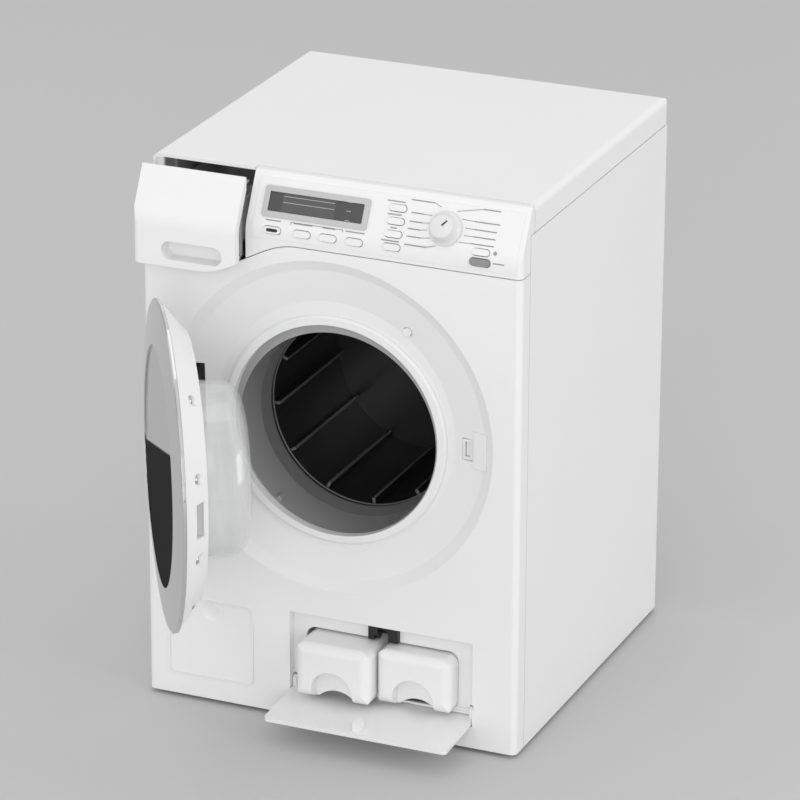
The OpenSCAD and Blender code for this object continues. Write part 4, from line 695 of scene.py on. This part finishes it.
# Parts on the circuit board, for whoever opens the back
board = {"depth": 9.85, "chips": [(0, 12, 14, 9), (34, 13, 9, 6), (-24, 10, 8, 8)],
         "cans": [(18, 7, 3.0, 7), (26, 16, 2.2, 6), (62, 7, 2.5, 6)], "tabs": [(-10, 4), (-4, 4), (46, 5), (52, 5), (-14, 19), (40, 20)]}


def buildBoardParts():
    bm = bmesh.new()
    for x, s, w, h in board["chips"]:
        plane = slopeFrame(x, s, -board["depth"] - 1.9)
        addBar(bm, plane, -w / 2, 0, w / 2, 0, h, 1.9)
        for k in range(int(w / 1.6)):
            for side in (-1, 1):
                addBar(bm, plane, -w / 2 + 1 + 1.6 * k, side * (h / 2 + 0.5), -w / 2 + 1.5 + 1.6 * k, side * (h / 2 + 0.5), 1.2, 1.9)
    for x, s in board["tabs"]:
        addBar(bm, slopeFrame(x, s, -board["depth"] - 1.0), -1.2, 0, 1.2, 0, 1.2, 1.0)
    meshPiece(bm, "boardChips", finishes["latch_black"], "root")
    bm = bmesh.new()
    for x, s, r, h in board["cans"]:
        bmesh.ops.create_cone(bm, cap_ends=True, segments=32, radius1=r * mm, radius2=r * mm, depth=h * mm,
                              matrix=slopeFrame(x, s, -board["depth"] - h / 2))
    meshPiece(bm, "boardCans", finishes["motor_steel"], "root", smooth=True)


buildBoardParts()

# Plain pale floor
floor = {"tone": 0.56, "radius": 6.0, "segments": 96, "roughness": 0.9}


def buildFloor():
    bm = bmesh.new()
    bmesh.ops.create_circle(bm, segments=floor["segments"], radius=floor["radius"], cap_ends=True)
    mesh = bpy.data.meshes.new("floor")
    bmesh.ops.recalc_face_normals(bm, faces=bm.faces)
    bm.to_mesh(mesh)
    bm.free()
    piece = bpy.data.objects.new("floor", mesh)
    bpy.context.scene.collection.objects.link(piece)
    material = bpy.data.materials.new("paleFloor")
    material.use_nodes = True
    shader = material.node_tree.nodes["Principled BSDF"]
    shader.inputs["Base Color"].default_value = (floor["tone"], floor["tone"], floor["tone"], 1)
    shader.inputs["Roughness"].default_value = floor["roughness"]
    shader.inputs["Specular IOR Level"].default_value = 0.1
    mesh.materials.append(material)


buildFloor()

# Plain soft studio light
lamps = {
    "top": {"place": (-0.3, 0.2, 2.2), "aim": (0, 0, 0.15), "size": 1.6, "power": 4},
    "key": {"place": (-0.35, -1.75, 1.35), "aim": (0, 0, 0.12), "size": 0.4, "power": 1.2},
    "left": {"place": (-2.1, -1.6, 0.5), "aim": (0, 0, 0.12), "size": 1.6, "power": 5},
    "front": {"place": (0.8, -2.5, 0.7), "aim": (0, 0, 0.12), "size": 1.4, "power": 17},
    "right": {"place": (2.3, -0.4, 0.6), "aim": (0, 0, 0.12), "size": 1.6, "power": 13},
}
for name, lamp in lamps.items():
    data = bpy.data.lights.new(name, "AREA")
    data.energy, data.size = lamp["power"], lamp["size"]
    light = bpy.data.objects.new(name, data)
    light.location = lamp["place"]
    light.rotation_euler = (Vector(lamp["place"]) - Vector(lamp["aim"])).to_track_quat("Z", "Y").to_euler()
    bpy.context.scene.collection.objects.link(light)
world = bpy.data.worlds.new("softRoom")
bpy.context.scene.world = world
world.use_nodes = True
room = world.node_tree.nodes["Background"]
room.inputs["Color"].default_value = (1, 1, 1, 1)
room.inputs["Strength"].default_value = 0.8
print("stage and lamps done")
